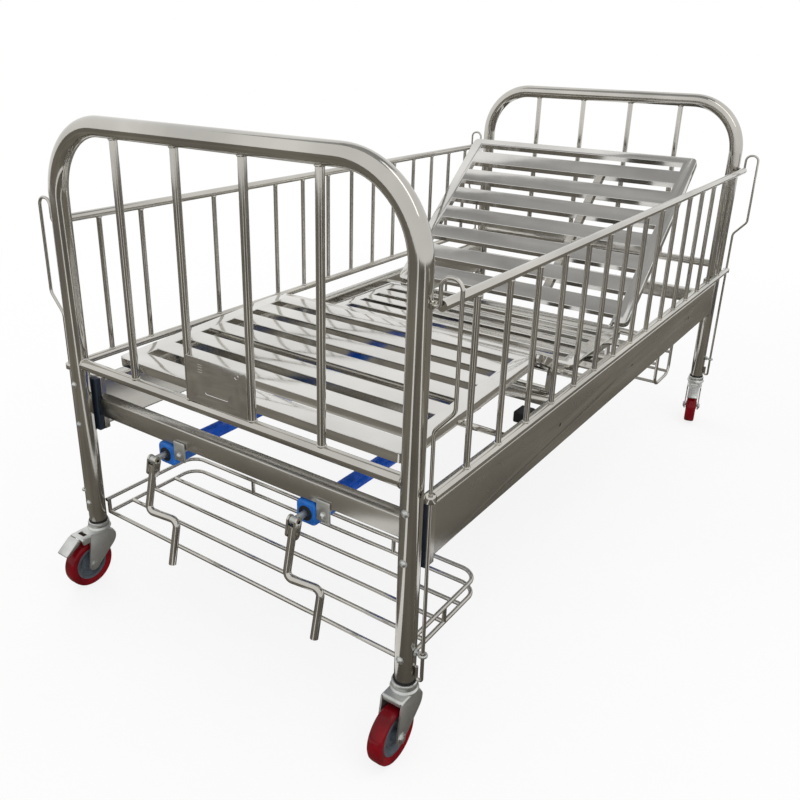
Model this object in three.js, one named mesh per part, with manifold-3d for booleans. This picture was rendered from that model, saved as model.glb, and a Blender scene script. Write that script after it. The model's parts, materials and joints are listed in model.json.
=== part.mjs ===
// A children's hospital cot: welded stainless steel tube, two hand cranks, a four-section slatted platform.
// Millimetres. X runs across the cot, Y from the foot end to the head end, Z up from the floor.
// Heights and lengths are laid out from the floor and the foot legs.
// The last lines centre the cot in X and Y.
import * as THREE from 'three';
import { mergeVertices } from 'three/addons/utils/BufferGeometryUtils.js';
import Module from 'manifold-3d';

const wasm = await Module();
wasm.setup();

// Fits
const SEAT_GAP = 0.3;              // between pieces that bear on each other
const RUN_GAP = 0.4;               // around pins, shafts and rings that turn or slide

// Legs and end boards
const LEG_SPACING_X = 770;
const LEG_SPACING_Y = 1618;
const LEG_DIAMETER = 35;
const LEG_WALL = 1.5;
const BOARD_RISE = 801;            // axis of the top tube above the leg's lower end
const BOARD_BEND_RADIUS = 132;
const CROSS_TUBE_DROP = 450;       // axis of the cross tube below the axis of the top tube
const CROSS_TUBE_DIAMETER = 22;
const BOARD_BALUSTER_DIAMETER = 14;
const BOARD_BALUSTER_COUNT = 4;
const BOARD_BALUSTER_PITCH = 145;

// Chart plate on the foot board
const CHART_PLATE_WIDTH = 140;
const CHART_PLATE_HEIGHT = 83;
const CHART_PLATE_THICKNESS = 1.5;
const CHART_SLOT_LENGTH = 54;
const CHART_SLOT_WIDTH = 5;
const CHART_SLOT_RISE = 24;

// Side guards
const GUARD_CLEARANCE = 13.5;      // guard plane outboard of the legs' surface
const GUARD_RAIL_DIAMETER = 16;
const GUARD_TOP_DROP = 178;        // top rail's axis below the axis of the boards' top tube
const GUARD_HEIGHT = 285;          // between the axes of the two rails
const GUARD_BALUSTER_DIAMETER = 10;
const GUARD_BALUSTER_COUNT = 15;
const GUARD_EYE_WALL = 5;
const GUARD_EYE_HEIGHT = 12;
const GUARD_END_GAP = 1.5;         // top rail's ends from the guide rods

// Guide rods and their eye bolts
const ROD_DIAMETER = 6;
const HOOK_RISE = 41;              // crown of the hook above the guard's top rail
const HOOK_WIDTH = 32;
const JOG_DROP = 141;              // start of the jog below the guard's top rail
const JOG_HEIGHT = 37;
const JOG_BEND_RADIUS = 18;
const ROD_FOOT_RISE = 10;          // lowest bend's axis above the leg's lower end
const ROD_TAIL_LENGTH = 24;
const ROD_NUT_DIAMETER = 12;
const ROD_NUT_THICKNESS = 4;
const EYE_BOLT_RISE = 61;
const EYE_BOLT_WALL = 4.5;
const EYE_BOLT_HEIGHT = 5;

// Base frame
const PLATFORM_RISE = 305;         // flat platform's top above the legs' lower end
const SIDE_BEAM_WIDTH = 30;
const SIDE_BEAM_HEIGHT = 97;
const SIDE_BEAM_STEP = 2;          // beam's top above the flat platform's top
const BEAM_WALL = 2;
const BEAM_EDGE_RADIUS = 5;
const BEAM_HOLES_Y = [503, 903, 1345];
const BEAM_HOLE_DIAMETER = 9;
const END_PLATE_WIDTH = 34;
const END_PLATE_HEIGHT = 110;
const END_PLATE_DEPTH = 10;
const CORNER_COVER_DEPTH = 12;
const COVER_EDGE_RADIUS = 2;
const END_BEAM_DEPTH = 26;
const END_BEAM_HEIGHT = 38;
const END_BEAM_DROP = 30;          // end beam's top below the flat platform's top
const END_BEAM_SETBACK = 2.5;      // end beam's face behind the leg's surface
const CROSS_MEMBER_SIZE = 24;
const FRONT_MEMBER_GAP = 108;      // from the front hinge toward the foot end
const STOP_LENGTH = 38;
const STOP_WIDTH = 28;
const STOP_HEIGHT = 22;
const STOP_GAP = 56;               // from the calf arm's pivot toward the head end

// Platform panels
const PANEL_SIDE_GAP = 35;         // between the panels' sides and the side beams
const PANEL_DEPTH = 18;
const SHEET = 2;
const PANEL_SIDE_STRIP = 33;
const PANEL_CORNER_RADIUS = 14;
const KNEE_CORNER_RADIUS = 30;
const SLOT_WIDTH = 28;
const SLOT_PITCH = 71.5;
const SEAT_SLOT_WIDTH = 25;
const SEAT_SLOT_PITCH = 61;
const SEAT_SLOT_COUNT = 4;
const SEAT_FIRST_SLOT = 50;
const SEAT_STRAP_INSET = 60;
const SEAT_STRAP_LENGTH = 34;
const SEAT_STRAP_THICKNESS = 4;
const FRONT_HINGE_Y = 678.6;
const SEAT_HINGE_SPAN = 344.8;     // between the two hinge tubes
const HINGE_DROP = 12;             // hinge axes below the panels' top
const HINGE_TUBE_DIAMETER = 16;
const HINGE_TUBE_WALL = 2;
const PANEL_HINGE_GAP = 14;        // panel edge from the axis that it turns on
const SEAT_HINGE_GAP = 21.5;       // seat edge from the hinge axes beside it
const HEAD_CLEARANCE = 39.6;       // flat backrest's upper edge from the head legs' axis
const BACKREST_LAST_SLOT = 35;     // last slot's middle from the backrest's upper edge
const BACKREST_TILT = 41;
const STIFFENER_X = 91;
const STIFFENER_WIDTH = 20;
const STIFFENER_DEPTH = 14;
const STIFFENER_INSET = 72;
const THIGH_LENGTH = 161;          // hinge axis to knee axis
const THIGH_SLOT_PITCH = 60;
const THIGH_TILT = 28;
const FOOT_CLEARANCE = 33.6;       // flat calf panel's foot edge from the foot legs' axis
const CALF_LAST_SLOT = 58;
const CALF_TILT = 2.4;
const KNEE_ROD_DIAMETER = 10;
const KNEE_LUG_THICKNESS = 6;
const KNEE_LUG_RADIUS = 9;
const KNEE_LUG_INSET = 7;
const KNEE_LUG_FOOT = 16;          // how far a knee lug runs in under its panel
const CALF_BAR_DIAMETER = 12;
const CALF_BAR_REACH = 300;        // knee axis to the bail's bar, along the calf panel
const CALF_BAR_CLEARANCE = 1.5;
const CALF_BAR_BEND_RADIUS = 14;

// Levers under the panels
const LEVER_INSET = 38;            // lever plate's middle from the panel's side edge
const LEVER_THICKNESS = 5;
const LEVER_EYE_RADIUS = 12;
const LEVER_TUBE_DIAMETER = 20;
const LEVER_FOOT = 72;             // how far a lever plate runs along its panel
const LEVER_FOOT_RADIUS = 6;
const BACK_LEVER_LENGTH = 70;
const BACK_LEVER_LEAN = 3.5;       // toward the head end, backrest as shown
const KNEE_LEVER_LENGTH = 48;
const KNEE_LEVER_LEAN = 7;         // toward the foot end, thigh as shown

// Crank drives
const CRANK_SPACING = 340;
const HOUSING_NOSE_DIAMETER = 43;
const HOUSING_NOSE_LENGTH = 18;
const HOUSING_BODY_LENGTH = 52;
const HOUSING_EDGE_RADIUS = 9;
const HOUSING_OVERHANG = 5;        // nose's face in front of the foot beam's face
const SHAFT_DIAMETER = 12;
const SHAFT_DEPTH = 10;            // length of the shaft inside the nose
const KNUCKLE_REACH = 28;          // handle pin in front of the nose
const KNUCKLE_DIAMETER = 14;
const KNUCKLE_WIDTH = 12;
const KNUCKLE_PIN_DIAMETER = 6;
const CHEEK_THICKNESS = 4;
const CHEEK_LENGTH = 24;
const CHEEK_MARGIN = 1;            // cheek beyond the knuckle's barrel
const HANDLE_DIAMETER = 14;
const HANDLE_ARM = 100;
const HANDLE_THROW = 66;
const HANDLE_GRIP = 86;
const HANDLE_BEND_RADIUS = 13;
const HANDLE_LEAN = 13;
const HANDLE_TWIST = 10;
const CRANK_BRACKET_WIDTH = 28;
const CRANK_BRACKET_THICKNESS = 3.5;
const CRANK_BRACKET_RISE = 12;     // bracket's upper edge above the foot beam's underside
const CRANK_BRACKET_DROP = 26;
const SCREW_TUBE_DIAMETER = 30;
const PUSH_ROD_DIAMETER = 18;
const PUSH_ROD_EXPOSED = 60;
const PUSH_ROD_INSIDE = 90;
const YOKE_WIDTH = 26;
const YOKE_WALL = 7;
const YOKE_PLAY = 2.5;             // beside the lever tube, which swings on a slight arc
const YOKE_MARGIN = 18;            // above and below the lever tube at rest
const CLAMP_WALL = 4;
const CLAMP_LENGTH = 16;

// Basket and rack
const BASKET_ROD_DIAMETER = 8;
const BASKET_INSET = 13;           // rims' sides inboard of the leg axis
const BASKET_RISE = 13;            // lower rim's axis above the legs' lower end
const BASKET_DEPTH = 31;
const BASKET_LENGTH = 236;
const BASKET_BEND_RADIUS = 34;
const BASKET_FLOOR_RODS = 3;
const BASKET_POSTS = 3;
const RACK_ROD_DIAMETER = 8;
const RACK_HEAD_GAP = 264;         // rack from the head legs' axis
const RACK_LENGTH = 118;
const RACK_DROP = 122;             // hangers' lowest axis below the side beams
const RACK_GRIP = 45;              // length of the hangers along the beams
const RACK_BEND_RADIUS = 26;
const RACK_UPPER_ROD_DROP = 60;

// Casters
const TYRE_DIAMETER = 100;
const TYRE_WIDTH = 28;
const TYRE_THICKNESS = 15;
const TYRE_SHOULDER = 4;
const HUB_WIDTH = 31;
const HUB_BOSS_DIAMETER = 22;
const HUB_RIM_WIDTH = 22;
const HUB_WEB = 10;
const HUB_RIM_THICKNESS = 4;
const AXLE_DIAMETER = 10;
const AXLE_HEAD_DIAMETER = 16;
const AXLE_HEAD_THICKNESS = 4;
const CASTER_TRAIL = 35;
const FORK_SHEET = 3.2;
const FORK_CLEARANCE = 1.8;
const FORK_CROWN_CLEARANCE = 16.5; // fork's crown above the wheel
const FORK_AXLE_RADIUS = 12;
const FORK_HEAD_RADIUS = 24;
const RACE_DIAMETER = 46;
const RACE_HEIGHT = 15;
const KINGPIN_DIAMETER = 20;
const KINGPIN_LENGTH = 28;
const BRAKE_ARM = 34;              // longer fork plate of a braked caster
const PEDAL_LENGTH = 34;
const PEDAL_WIDTH = 30;
const PEDAL_SHEET = 5;
const PEDAL_DROOP = 34;
const HEAD_RIGHT_SWIVEL = 12.4;
const BRAKED_CORNERS = ['foot_left', 'head_right'];

// Facets round the tubes
const LEG_SIDES = 14;
const TUBE_SIDES = 8;
const BORE_SIDES = 8;
const BALUSTER_SIDES = 6;
const WIRE_SIDES = 6;
const NUT_SIDES = 6;
const WHEEL_SIDES = 14;
const BOARD_BEND_STEPS = 6;
const BEND_STEPS = 3;

// Sizes that follow
const degrees = THREE.MathUtils.degToRad;
const LEG_X = LEG_SPACING_X / 2;
const LEG_RADIUS = LEG_DIAMETER / 2;
const FORK_TOP_Z = TYRE_DIAMETER + FORK_CROWN_CLEARANCE + FORK_SHEET;
const LEG_FOOT_Z = FORK_TOP_Z + RACE_HEIGHT + SEAT_GAP;
const BOARD_TOP_Z = LEG_FOOT_Z + BOARD_RISE;
const CROSS_TUBE_Z = BOARD_TOP_Z - CROSS_TUBE_DROP;
const GUARD_X = LEG_X + LEG_RADIUS + GUARD_CLEARANCE;
const GUARD_TOP_Z = BOARD_TOP_Z - GUARD_TOP_DROP;
const GUARD_BOTTOM_Z = GUARD_TOP_Z - GUARD_HEIGHT;
const ROD_RADIUS = ROD_DIAMETER / 2;
const PLATFORM_Z = LEG_FOOT_Z + PLATFORM_RISE;
const SIDE_BEAM_TOP_Z = PLATFORM_Z + SIDE_BEAM_STEP;
const SIDE_BEAM_BOTTOM_Z = SIDE_BEAM_TOP_Z - SIDE_BEAM_HEIGHT;
const SIDE_BEAM_MIDDLE_Z = (SIDE_BEAM_TOP_Z + SIDE_BEAM_BOTTOM_Z) / 2;
const BEAM_INNER_X = LEG_X - SIDE_BEAM_WIDTH / 2;
const BEAM_OUTER_X = LEG_X + SIDE_BEAM_WIDTH / 2;
const PANEL_HALF = BEAM_INNER_X - PANEL_SIDE_GAP;
const END_PLATE_INNER_X = LEG_X - END_PLATE_WIDTH / 2;
const COVER_START_Y = LEG_RADIUS + SEAT_GAP;
const END_PLATE_START_Y = COVER_START_Y + CORNER_COVER_DEPTH + SEAT_GAP;
const SIDE_BEAM_START_Y = END_PLATE_START_Y + END_PLATE_DEPTH;
const END_BEAM_FACE_Y = LEG_RADIUS + END_BEAM_SETBACK;
const END_BEAM_TOP_Z = PLATFORM_Z - END_BEAM_DROP;
const END_BEAM_BOTTOM_Z = END_BEAM_TOP_Z - END_BEAM_HEIGHT;
const HINGE_Z = PLATFORM_Z - HINGE_DROP;
const BACK_HINGE_Y = FRONT_HINGE_Y + SEAT_HINGE_SPAN;
const SEAT_FRONT_Y = FRONT_HINGE_Y + SEAT_HINGE_GAP;
const SEAT_REAR_Y = BACK_HINGE_Y - SEAT_HINGE_GAP;
const PANEL_BOTTOM = HINGE_DROP - PANEL_DEPTH;
const BACKREST_LENGTH = LEG_SPACING_Y - HEAD_CLEARANCE - BACK_HINGE_Y;
const CALF_LENGTH = FRONT_HINGE_Y - THIGH_LENGTH - FOOT_CLEARANCE;
const KNEE_Y = FRONT_HINGE_Y - THIGH_LENGTH * Math.cos(degrees(THIGH_TILT));
const KNEE_Z = HINGE_Z + THIGH_LENGTH * Math.sin(degrees(THIGH_TILT));
const CALF_BAR_FALL = CALF_BAR_REACH * Math.sin(degrees(CALF_TILT));
const CALF_ARM_LENGTH = THIGH_LENGTH - CALF_BAR_FALL / Math.sin(degrees(THIGH_TILT));
const CALF_PIVOT_Y = KNEE_Y - CALF_BAR_REACH + CALF_ARM_LENGTH * Math.cos(degrees(THIGH_TILT));
const CALF_PIVOT_Z = HINGE_Z + PANEL_BOTTOM - CALF_BAR_DIAMETER / 2 - CALF_BAR_CLEARANCE;
const LEVER_X = PANEL_HALF - LEVER_INSET;
const LEVER_TUBE_RADIUS = LEVER_TUBE_DIAMETER / 2;
const CRANK_X = CRANK_SPACING / 2;
const NOSE_RADIUS = HOUSING_NOSE_DIAMETER / 2;
const CRANK_Z = END_BEAM_BOTTOM_Z - SEAT_GAP - NOSE_RADIUS;
const NOSE_FACE_Y = END_BEAM_FACE_Y - HOUSING_OVERHANG;
const HOUSING_END_Y = NOSE_FACE_Y + HOUSING_NOSE_LENGTH + HOUSING_BODY_LENGTH;
const KNUCKLE_Y = NOSE_FACE_Y - KNUCKLE_REACH;
const SCREW_TUBE_RADIUS = SCREW_TUBE_DIAMETER / 2;
const PUSH_ROD_RADIUS = PUSH_ROD_DIAMETER / 2;
const BASKET_ROD_RADIUS = BASKET_ROD_DIAMETER / 2;
const AXLE_Z = TYRE_DIAMETER / 2;
const FORK_INNER = HUB_WIDTH / 2 + FORK_CLEARANCE;
const FORK_OUTER = FORK_INNER + FORK_SHEET;
const FORK_PLATE_END = CASTER_TRAIL - FORK_AXLE_RADIUS;
const BRAKE_PLATE_END = FORK_PLATE_END + BRAKE_ARM;

// Solids: closed geometries are joined and cut here
function solidOf(geometry) {
  const bare = new THREE.BufferGeometry();
  bare.setAttribute('position', geometry.getAttribute('position').clone());
  bare.setIndex(geometry.index);
  const merged = mergeVertices(bare, 1e-4);
  return new wasm.Manifold(new wasm.Mesh({
    numProp: 3,
    vertProperties: new Float32Array(merged.getAttribute('position').array),
    triVerts: new Uint32Array(merged.index.array),
  }));
}

function geometryOf(solid) {
  const mesh = solid.getMesh();
  const geometry = new THREE.BufferGeometry();
  geometry.setAttribute('position', new THREE.BufferAttribute(mesh.vertProperties, 3));
  geometry.setIndex(new THREE.BufferAttribute(mesh.triVerts, 1));
  return geometry;
}

function join(...geometries) {
  return geometryOf(geometries.map(solidOf).reduce((whole, next) => whole.add(next)));
}

function cut(geometry, ...tools) {
  return geometryOf(tools.map(solidOf).reduce((rest, tool) => rest.subtract(tool), solidOf(geometry)));
}

// Corner radius of a polygon whose flats lie on the given radius
function around(radius, sides) {
  return radius / Math.cos(Math.PI / sides);
}

// Distance from the middle of a many-sided section to its flats
function toFlat(radius, sides) {
  return radius * Math.cos(Math.PI / sides);
}

// Sections and sweeps
function circlePoints(radius, sides) {
  return Array.from({ length: sides }, (_, i) => {
    const angle = (2 * Math.PI * (i + 0.5)) / sides;
    return new THREE.Vector2(radius * Math.cos(angle), radius * Math.sin(angle));
  });
}

function roundSection(radius, sides, boreRadius = 0) {
  const section = new THREE.Shape(circlePoints(radius, sides));
  if (boreRadius > 0) {
    section.holes.push(new THREE.Path(circlePoints(boreRadius, sides)));
  }
  return section;
}

function roundedRectangle(x0, y0, x1, y1, r0, r1 = r0) {
  const shape = new THREE.Shape();
  shape.absarc(x0 + r0, y0 + r0, r0, Math.PI, 1.5 * Math.PI);
  shape.absarc(x1 - r0, y0 + r0, r0, 1.5 * Math.PI, 2 * Math.PI);
  shape.absarc(x1 - r1, y1 - r1, r1, 0, 0.5 * Math.PI);
  shape.absarc(x0 + r1, y1 - r1, r1, 0.5 * Math.PI, Math.PI);
  return shape;
}

// Outline round two circles, as of a link with round ends
function linkShape(y0, z0, r0, y1, z1, r1) {
  const heading = Math.atan2(z1 - z0, y1 - y0);
  const flank = Math.acos((r0 - r1) / Math.hypot(y1 - y0, z1 - z0));
  const shape = new THREE.Shape();
  shape.absarc(y0, z0, r0, heading + flank, heading - flank + 2 * Math.PI);
  shape.absarc(y1, z1, r1, heading - flank, heading + flank);
  return shape;
}

// A tube's centre line: straight runs with a round bend at each inner corner
class BentPath extends THREE.Curve {
  constructor(corners, bends, bendSteps) {
    super();
    this.stations = [];
    corners.forEach((corner, i) => {
      const inward = corner.clone().sub(corners[Math.max(i - 1, 0)]).normalize();
      const outward = corners[Math.min(i + 1, corners.length - 1)].clone().sub(corner).normalize();
      if (i === 0 || i === corners.length - 1) {
        this.stations.push({ point: corner, tangent: i === 0 ? outward : inward });
        return;
      }
      const bendRadius = Array.isArray(bends) ? bends[i - 1] : bends;
      const bend = inward.angleTo(outward);
      const axis = inward.clone().cross(outward).normalize();
      const start = corner.clone().addScaledVector(inward, -bendRadius * Math.tan(bend / 2));
      const spoke = inward.clone().cross(axis).multiplyScalar(bendRadius);
      const centre = start.clone().sub(spoke);
      for (let step = 0; step <= bendSteps; step += 1) {
        const turn = (bend * step) / bendSteps;
        const point = spoke.clone().applyAxisAngle(axis, turn).add(centre);
        this.stations.push({ point, tangent: inward.clone().applyAxisAngle(axis, turn) });
      }
    });
  }

  stationAt(t) {
    return this.stations[Math.round(t * (this.stations.length - 1))];
  }

  getPoint(t, target = new THREE.Vector3()) {
    return target.copy(this.stationAt(t).point);
  }

  getTangent(t, target = new THREE.Vector3()) {
    return target.copy(this.stationAt(t).tangent);
  }

  getUtoTmapping(u) {
    return u;
  }
}

function vector(x, y, z) {
  return new THREE.Vector3(x, y, z);
}

function bentTube(corners, section, bends, bendSteps = BEND_STEPS) {
  const extrudePath = new BentPath(corners, bends, bendSteps);
  return new THREE.ExtrudeGeometry(section, {
    extrudePath,
    steps: extrudePath.stations.length - 1,
    bevelEnabled: false,
  });
}

function bar(from, to, section) {
  return bentTube([from, to], section, 0);
}

// Extrusions: the drawn plane stands across X, Y or Z and the depth runs along that axis
function acrossX(shape, x0, x1, curveSegments = 4) {
  const geometry = new THREE.ExtrudeGeometry(shape, { depth: x1 - x0, bevelEnabled: false, curveSegments });
  geometry.applyMatrix4(new THREE.Matrix4().makeBasis(vector(0, 1, 0), vector(0, 0, 1), vector(1, 0, 0)));
  return geometry.translate(x0, 0, 0);
}

function acrossY(shape, y0, y1, curveSegments = 4) {
  const geometry = new THREE.ExtrudeGeometry(shape, { depth: y1 - y0, bevelEnabled: false, curveSegments });
  return geometry.rotateX(Math.PI / 2).translate(0, y1, 0);
}

function acrossZ(shape, z0, z1, curveSegments = 4) {
  const geometry = new THREE.ExtrudeGeometry(shape, { depth: z1 - z0, bevelEnabled: false, curveSegments });
  return geometry.translate(0, 0, z0);
}

function box(x0, x1, y0, y1, z0, z1) {
  const geometry = new THREE.BoxGeometry(x1 - x0, y1 - y0, z1 - z0);
  return geometry.translate((x0 + x1) / 2, (y0 + y1) / 2, (z0 + z1) / 2);
}

// A body of revolution about an axle along X; the profile's flats, not its corners, lie on the drawn radius
function turnedAboutX(profile, sides) {
  const spread = 1 / Math.cos(Math.PI / sides);
  const points = profile.map(([radius, along]) => new THREE.Vector2(radius * spread, along));
  points.push(points[0].clone());
  const geometry = new THREE.LatheGeometry(points, sides, Math.PI / sides);
  return geometry.rotateZ(-Math.PI / 2);
}

// Materials
function steel() {
  return new THREE.MeshStandardMaterial({ color: 0xb4b0a6, roughness: 0.24, metalness: 1 });
}

function sheetSteel() {
  return new THREE.MeshStandardMaterial({ color: 0xc6c5bf, roughness: 0.2, metalness: 1 });
}

function zinc() {
  return new THREE.MeshStandardMaterial({ color: 0xb8bcbc, roughness: 0.38, metalness: 1 });
}

function bluePlastic() {
  return new THREE.MeshStandardMaterial({ color: 0x0f52b5, roughness: 0.35, metalness: 0 });
}

function bluePaint() {
  return new THREE.MeshStandardMaterial({ color: 0x1550b0, roughness: 0.3, metalness: 0 });
}

function darkPlastic() {
  return new THREE.MeshStandardMaterial({ color: 0x141c2b, roughness: 0.45, metalness: 0 });
}

function blackRubber() {
  return new THREE.MeshStandardMaterial({ color: 0x141416, roughness: 0.7, metalness: 0 });
}

function greyPlastic() {
  return new THREE.MeshStandardMaterial({ color: 0x545a61, roughness: 0.5, metalness: 0 });
}

function redTyre() {
  return new THREE.MeshStandardMaterial({ color: 0x8a1620, roughness: 0.4, metalness: 0 });
}

// The legs and the top are one bent tube; the cross tube and the balusters are welded to it
function endBoard() {
  const frameCorners = (footZ) => [
    vector(-LEG_X, 0, footZ),
    vector(-LEG_X, 0, BOARD_TOP_Z),
    vector(LEG_X, 0, BOARD_TOP_Z),
    vector(LEG_X, 0, footZ),
  ];
  const outer = roundSection(LEG_RADIUS, LEG_SIDES);
  const bore = roundSection(LEG_RADIUS - LEG_WALL, BORE_SIDES);
  const crossTube = roundSection(CROSS_TUBE_DIAMETER / 2, TUBE_SIDES);
  const baluster = roundSection(BOARD_BALUSTER_DIAMETER / 2, BALUSTER_SIDES);
  const infill = [bar(vector(-LEG_X, 0, CROSS_TUBE_Z), vector(LEG_X, 0, CROSS_TUBE_Z), crossTube)];
  for (let i = 0; i < BOARD_BALUSTER_COUNT; i += 1) {
    const x = (i - (BOARD_BALUSTER_COUNT - 1) / 2) * BOARD_BALUSTER_PITCH;
    infill.push(bar(vector(x, 0, CROSS_TUBE_Z), vector(x, 0, BOARD_TOP_Z), baluster));
  }
  const frame = bentTube(frameCorners(LEG_FOOT_Z), outer, BOARD_BEND_RADIUS, BOARD_BEND_STEPS);
  const hollow = bentTube(frameCorners(LEG_FOOT_Z - LEG_WALL), bore, BOARD_BEND_RADIUS, BOARD_BEND_STEPS);
  return cut(join(frame, ...infill), hollow);
}

// Sheet on the front of the middle balusters, standing on the cross tube
function chartPlate() {
  const half = CHART_PLATE_WIDTH / 2;
  const bottom = CROSS_TUBE_Z + CROSS_TUBE_DIAMETER / 2 + SEAT_GAP;
  const slotZ = bottom + CHART_SLOT_RISE;
  const outline = new THREE.Shape();
  outline.moveTo(-half, bottom);
  outline.lineTo(half, bottom);
  outline.lineTo(half, bottom + CHART_PLATE_HEIGHT);
  outline.lineTo(-half, bottom + CHART_PLATE_HEIGHT);
  const slot = new THREE.Path();
  const slotRadius = CHART_SLOT_WIDTH / 2;
  const slotEnd = CHART_SLOT_LENGTH / 2 - slotRadius;
  slot.absarc(slotEnd, slotZ, slotRadius, -Math.PI / 2, Math.PI / 2);
  slot.absarc(-slotEnd, slotZ, slotRadius, Math.PI / 2, 1.5 * Math.PI);
  outline.holes.push(slot);
  const back = -toFlat(BOARD_BALUSTER_DIAMETER / 2, BALUSTER_SIDES) - SEAT_GAP;
  return acrossY(outline, back - CHART_PLATE_THICKNESS, back, 2);
}

// The same piece for the other side of the cot
function mirrored(geometry) {
  const copy = geometry.clone().scale(-1, 1, 1);
  copy.setIndex(Array.from(copy.index.array).reverse());
  return copy;
}

// Tall box section, drilled through its outer face, with a plate welded on each end
function sideBeam() {
  const outline = roundedRectangle(
    BEAM_INNER_X,
    SIDE_BEAM_BOTTOM_Z,
    BEAM_OUTER_X,
    SIDE_BEAM_TOP_Z,
    BEAM_EDGE_RADIUS,
  );
  const endY = LEG_SPACING_Y - SIDE_BEAM_START_Y;
  const tube = acrossY(outline, SIDE_BEAM_START_Y, endY, 2);
  const hollow = box(
    BEAM_INNER_X + BEAM_WALL,
    BEAM_OUTER_X - BEAM_WALL,
    SIDE_BEAM_START_Y - BEAM_WALL,
    endY + BEAM_WALL,
    SIDE_BEAM_BOTTOM_Z + BEAM_WALL,
    SIDE_BEAM_TOP_Z - BEAM_WALL,
  );
  const holes = BEAM_HOLES_Y.map((y) => bar(
    vector(LEG_X, y, SIDE_BEAM_MIDDLE_Z),
    vector(BEAM_OUTER_X + BEAM_WALL, y, SIDE_BEAM_MIDDLE_Z),
    roundSection(BEAM_HOLE_DIAMETER / 2, WIRE_SIDES),
  ));
  const plate = (y0, y1) => box(
    END_PLATE_INNER_X,
    LEG_X + END_PLATE_WIDTH / 2,
    y0,
    y1,
    SIDE_BEAM_MIDDLE_Z - END_PLATE_HEIGHT / 2,
    SIDE_BEAM_MIDDLE_Z + END_PLATE_HEIGHT / 2,
  );
  return join(
    cut(tube, hollow, ...holes),
    plate(END_PLATE_START_Y, SIDE_BEAM_START_Y + BEAM_WALL),
    plate(endY - BEAM_WALL, LEG_SPACING_Y - END_PLATE_START_Y),
  );
}

// Open box section along X
function boxTube(y0, y1, z0, z1, half, wall, radius) {
  const tube = acrossX(roundedRectangle(y0, z0, y1, z1, radius), -half, half, 1);
  return cut(tube, box(-half - wall, half + wall, y0 + wall, y1 - wall, z0 + wall, z1 - wall));
}

function endBeam() {
  const half = END_PLATE_INNER_X - SEAT_GAP;
  const backY = END_BEAM_FACE_Y + END_BEAM_DEPTH;
  const edge = BEAM_EDGE_RADIUS / 2;
  return boxTube(END_BEAM_FACE_Y, backY, END_BEAM_BOTTOM_Z, END_BEAM_TOP_Z, half, BEAM_WALL, edge);
}

function cornerCover() {
  const half = END_PLATE_WIDTH / 2;
  const outline = roundedRectangle(-half, 0, half, CORNER_COVER_DEPTH, COVER_EDGE_RADIUS);
  return acrossZ(outline, -END_PLATE_HEIGHT / 2, END_PLATE_HEIGHT / 2, 1);
}

function hingeTube(y) {
  const half = BEAM_INNER_X - SEAT_GAP;
  const radius = HINGE_TUBE_DIAMETER / 2;
  const section = roundSection(radius, TUBE_SIDES, radius - HINGE_TUBE_WALL);
  return bar(vector(-half, y, HINGE_Z), vector(half, y, HINGE_Z), section);
}

// Box tube across the frame with a ring clamp for each screw tube that passes below it
function crossMember(y, clampSides) {
  const top = HINGE_Z + PANEL_BOTTOM - BEAM_WALL;
  const half = CROSS_MEMBER_SIZE / 2;
  const bottom = top - CROSS_MEMBER_SIZE;
  const tube = boxTube(y - half, y + half, bottom, top, BEAM_INNER_X - SEAT_GAP, BEAM_WALL, BEAM_WALL);
  const bore = around(SCREW_TUBE_RADIUS + SEAT_GAP, TUBE_SIDES);
  const ringSection = roundSection(bore + CLAMP_WALL, TUBE_SIDES, bore);
  const clamps = clampSides.flatMap((side) => {
    const x = side * CRANK_X;
    const ring = acrossY(ringSection, y - CLAMP_LENGTH / 2, y + CLAMP_LENGTH / 2);
    const webBottom = CRANK_Z + bore + CLAMP_WALL / 2;
    const web = box(
      x - CLAMP_WALL,
      x + CLAMP_WALL,
      y - CLAMP_LENGTH / 2,
      y + CLAMP_LENGTH / 2,
      webBottom,
      bottom + BEAM_WALL / 2,
    );
    return [ring.translate(x, 0, CRANK_Z), web];
  });
  return join(tube, ...clamps);
}

function rubberStop() {
  return box(
    BEAM_INNER_X - SEAT_GAP - STOP_WIDTH,
    BEAM_INNER_X - SEAT_GAP,
    CALF_PIVOT_Y + STOP_GAP,
    CALF_PIVOT_Y + STOP_GAP + STOP_LENGTH,
    PLATFORM_Z - STOP_HEIGHT,
    PLATFORM_Z,
  );
}

// Middles of a row of slots, counted back from a panel's far edge
function slotRow(last, pitch, least) {
  const count = Math.floor((last - least) / pitch) + 1;
  return Array.from({ length: count }, (_, i) => last - i * pitch);
}

// A folded sheet pan: outer edges and the edges of every slot are turned down
function slattedPanel(start, end, slots, slotWidth, startRadius) {
  const slotHalf = PANEL_HALF - PANEL_SIDE_STRIP;
  const endRadius = PANEL_CORNER_RADIUS;
  const outline = roundedRectangle(-PANEL_HALF, start, PANEL_HALF, end, startRadius, endRadius);
  const inside = roundedRectangle(
    -PANEL_HALF + SHEET,
    start + SHEET,
    PANEL_HALF - SHEET,
    end - SHEET,
    startRadius - SHEET,
    endRadius - SHEET,
  );
  const slotBox = (y, margin, top) => box(
    -slotHalf - margin,
    slotHalf + margin,
    y - slotWidth / 2 - margin,
    y + slotWidth / 2 + margin,
    PANEL_BOTTOM - 2 * SHEET,
    top,
  );
  const slab = acrossZ(outline, PANEL_BOTTOM, HINGE_DROP, 2);
  const pocket = acrossZ(inside, PANEL_BOTTOM - SHEET, HINGE_DROP - SHEET, 2);
  const rims = slots.map((y) => slotBox(y, SHEET, HINGE_DROP));
  const openings = slots.map((y) => slotBox(y, 0, HINGE_DROP + SHEET));
  return cut(slab, cut(pocket, ...rims), ...openings);
}

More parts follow.
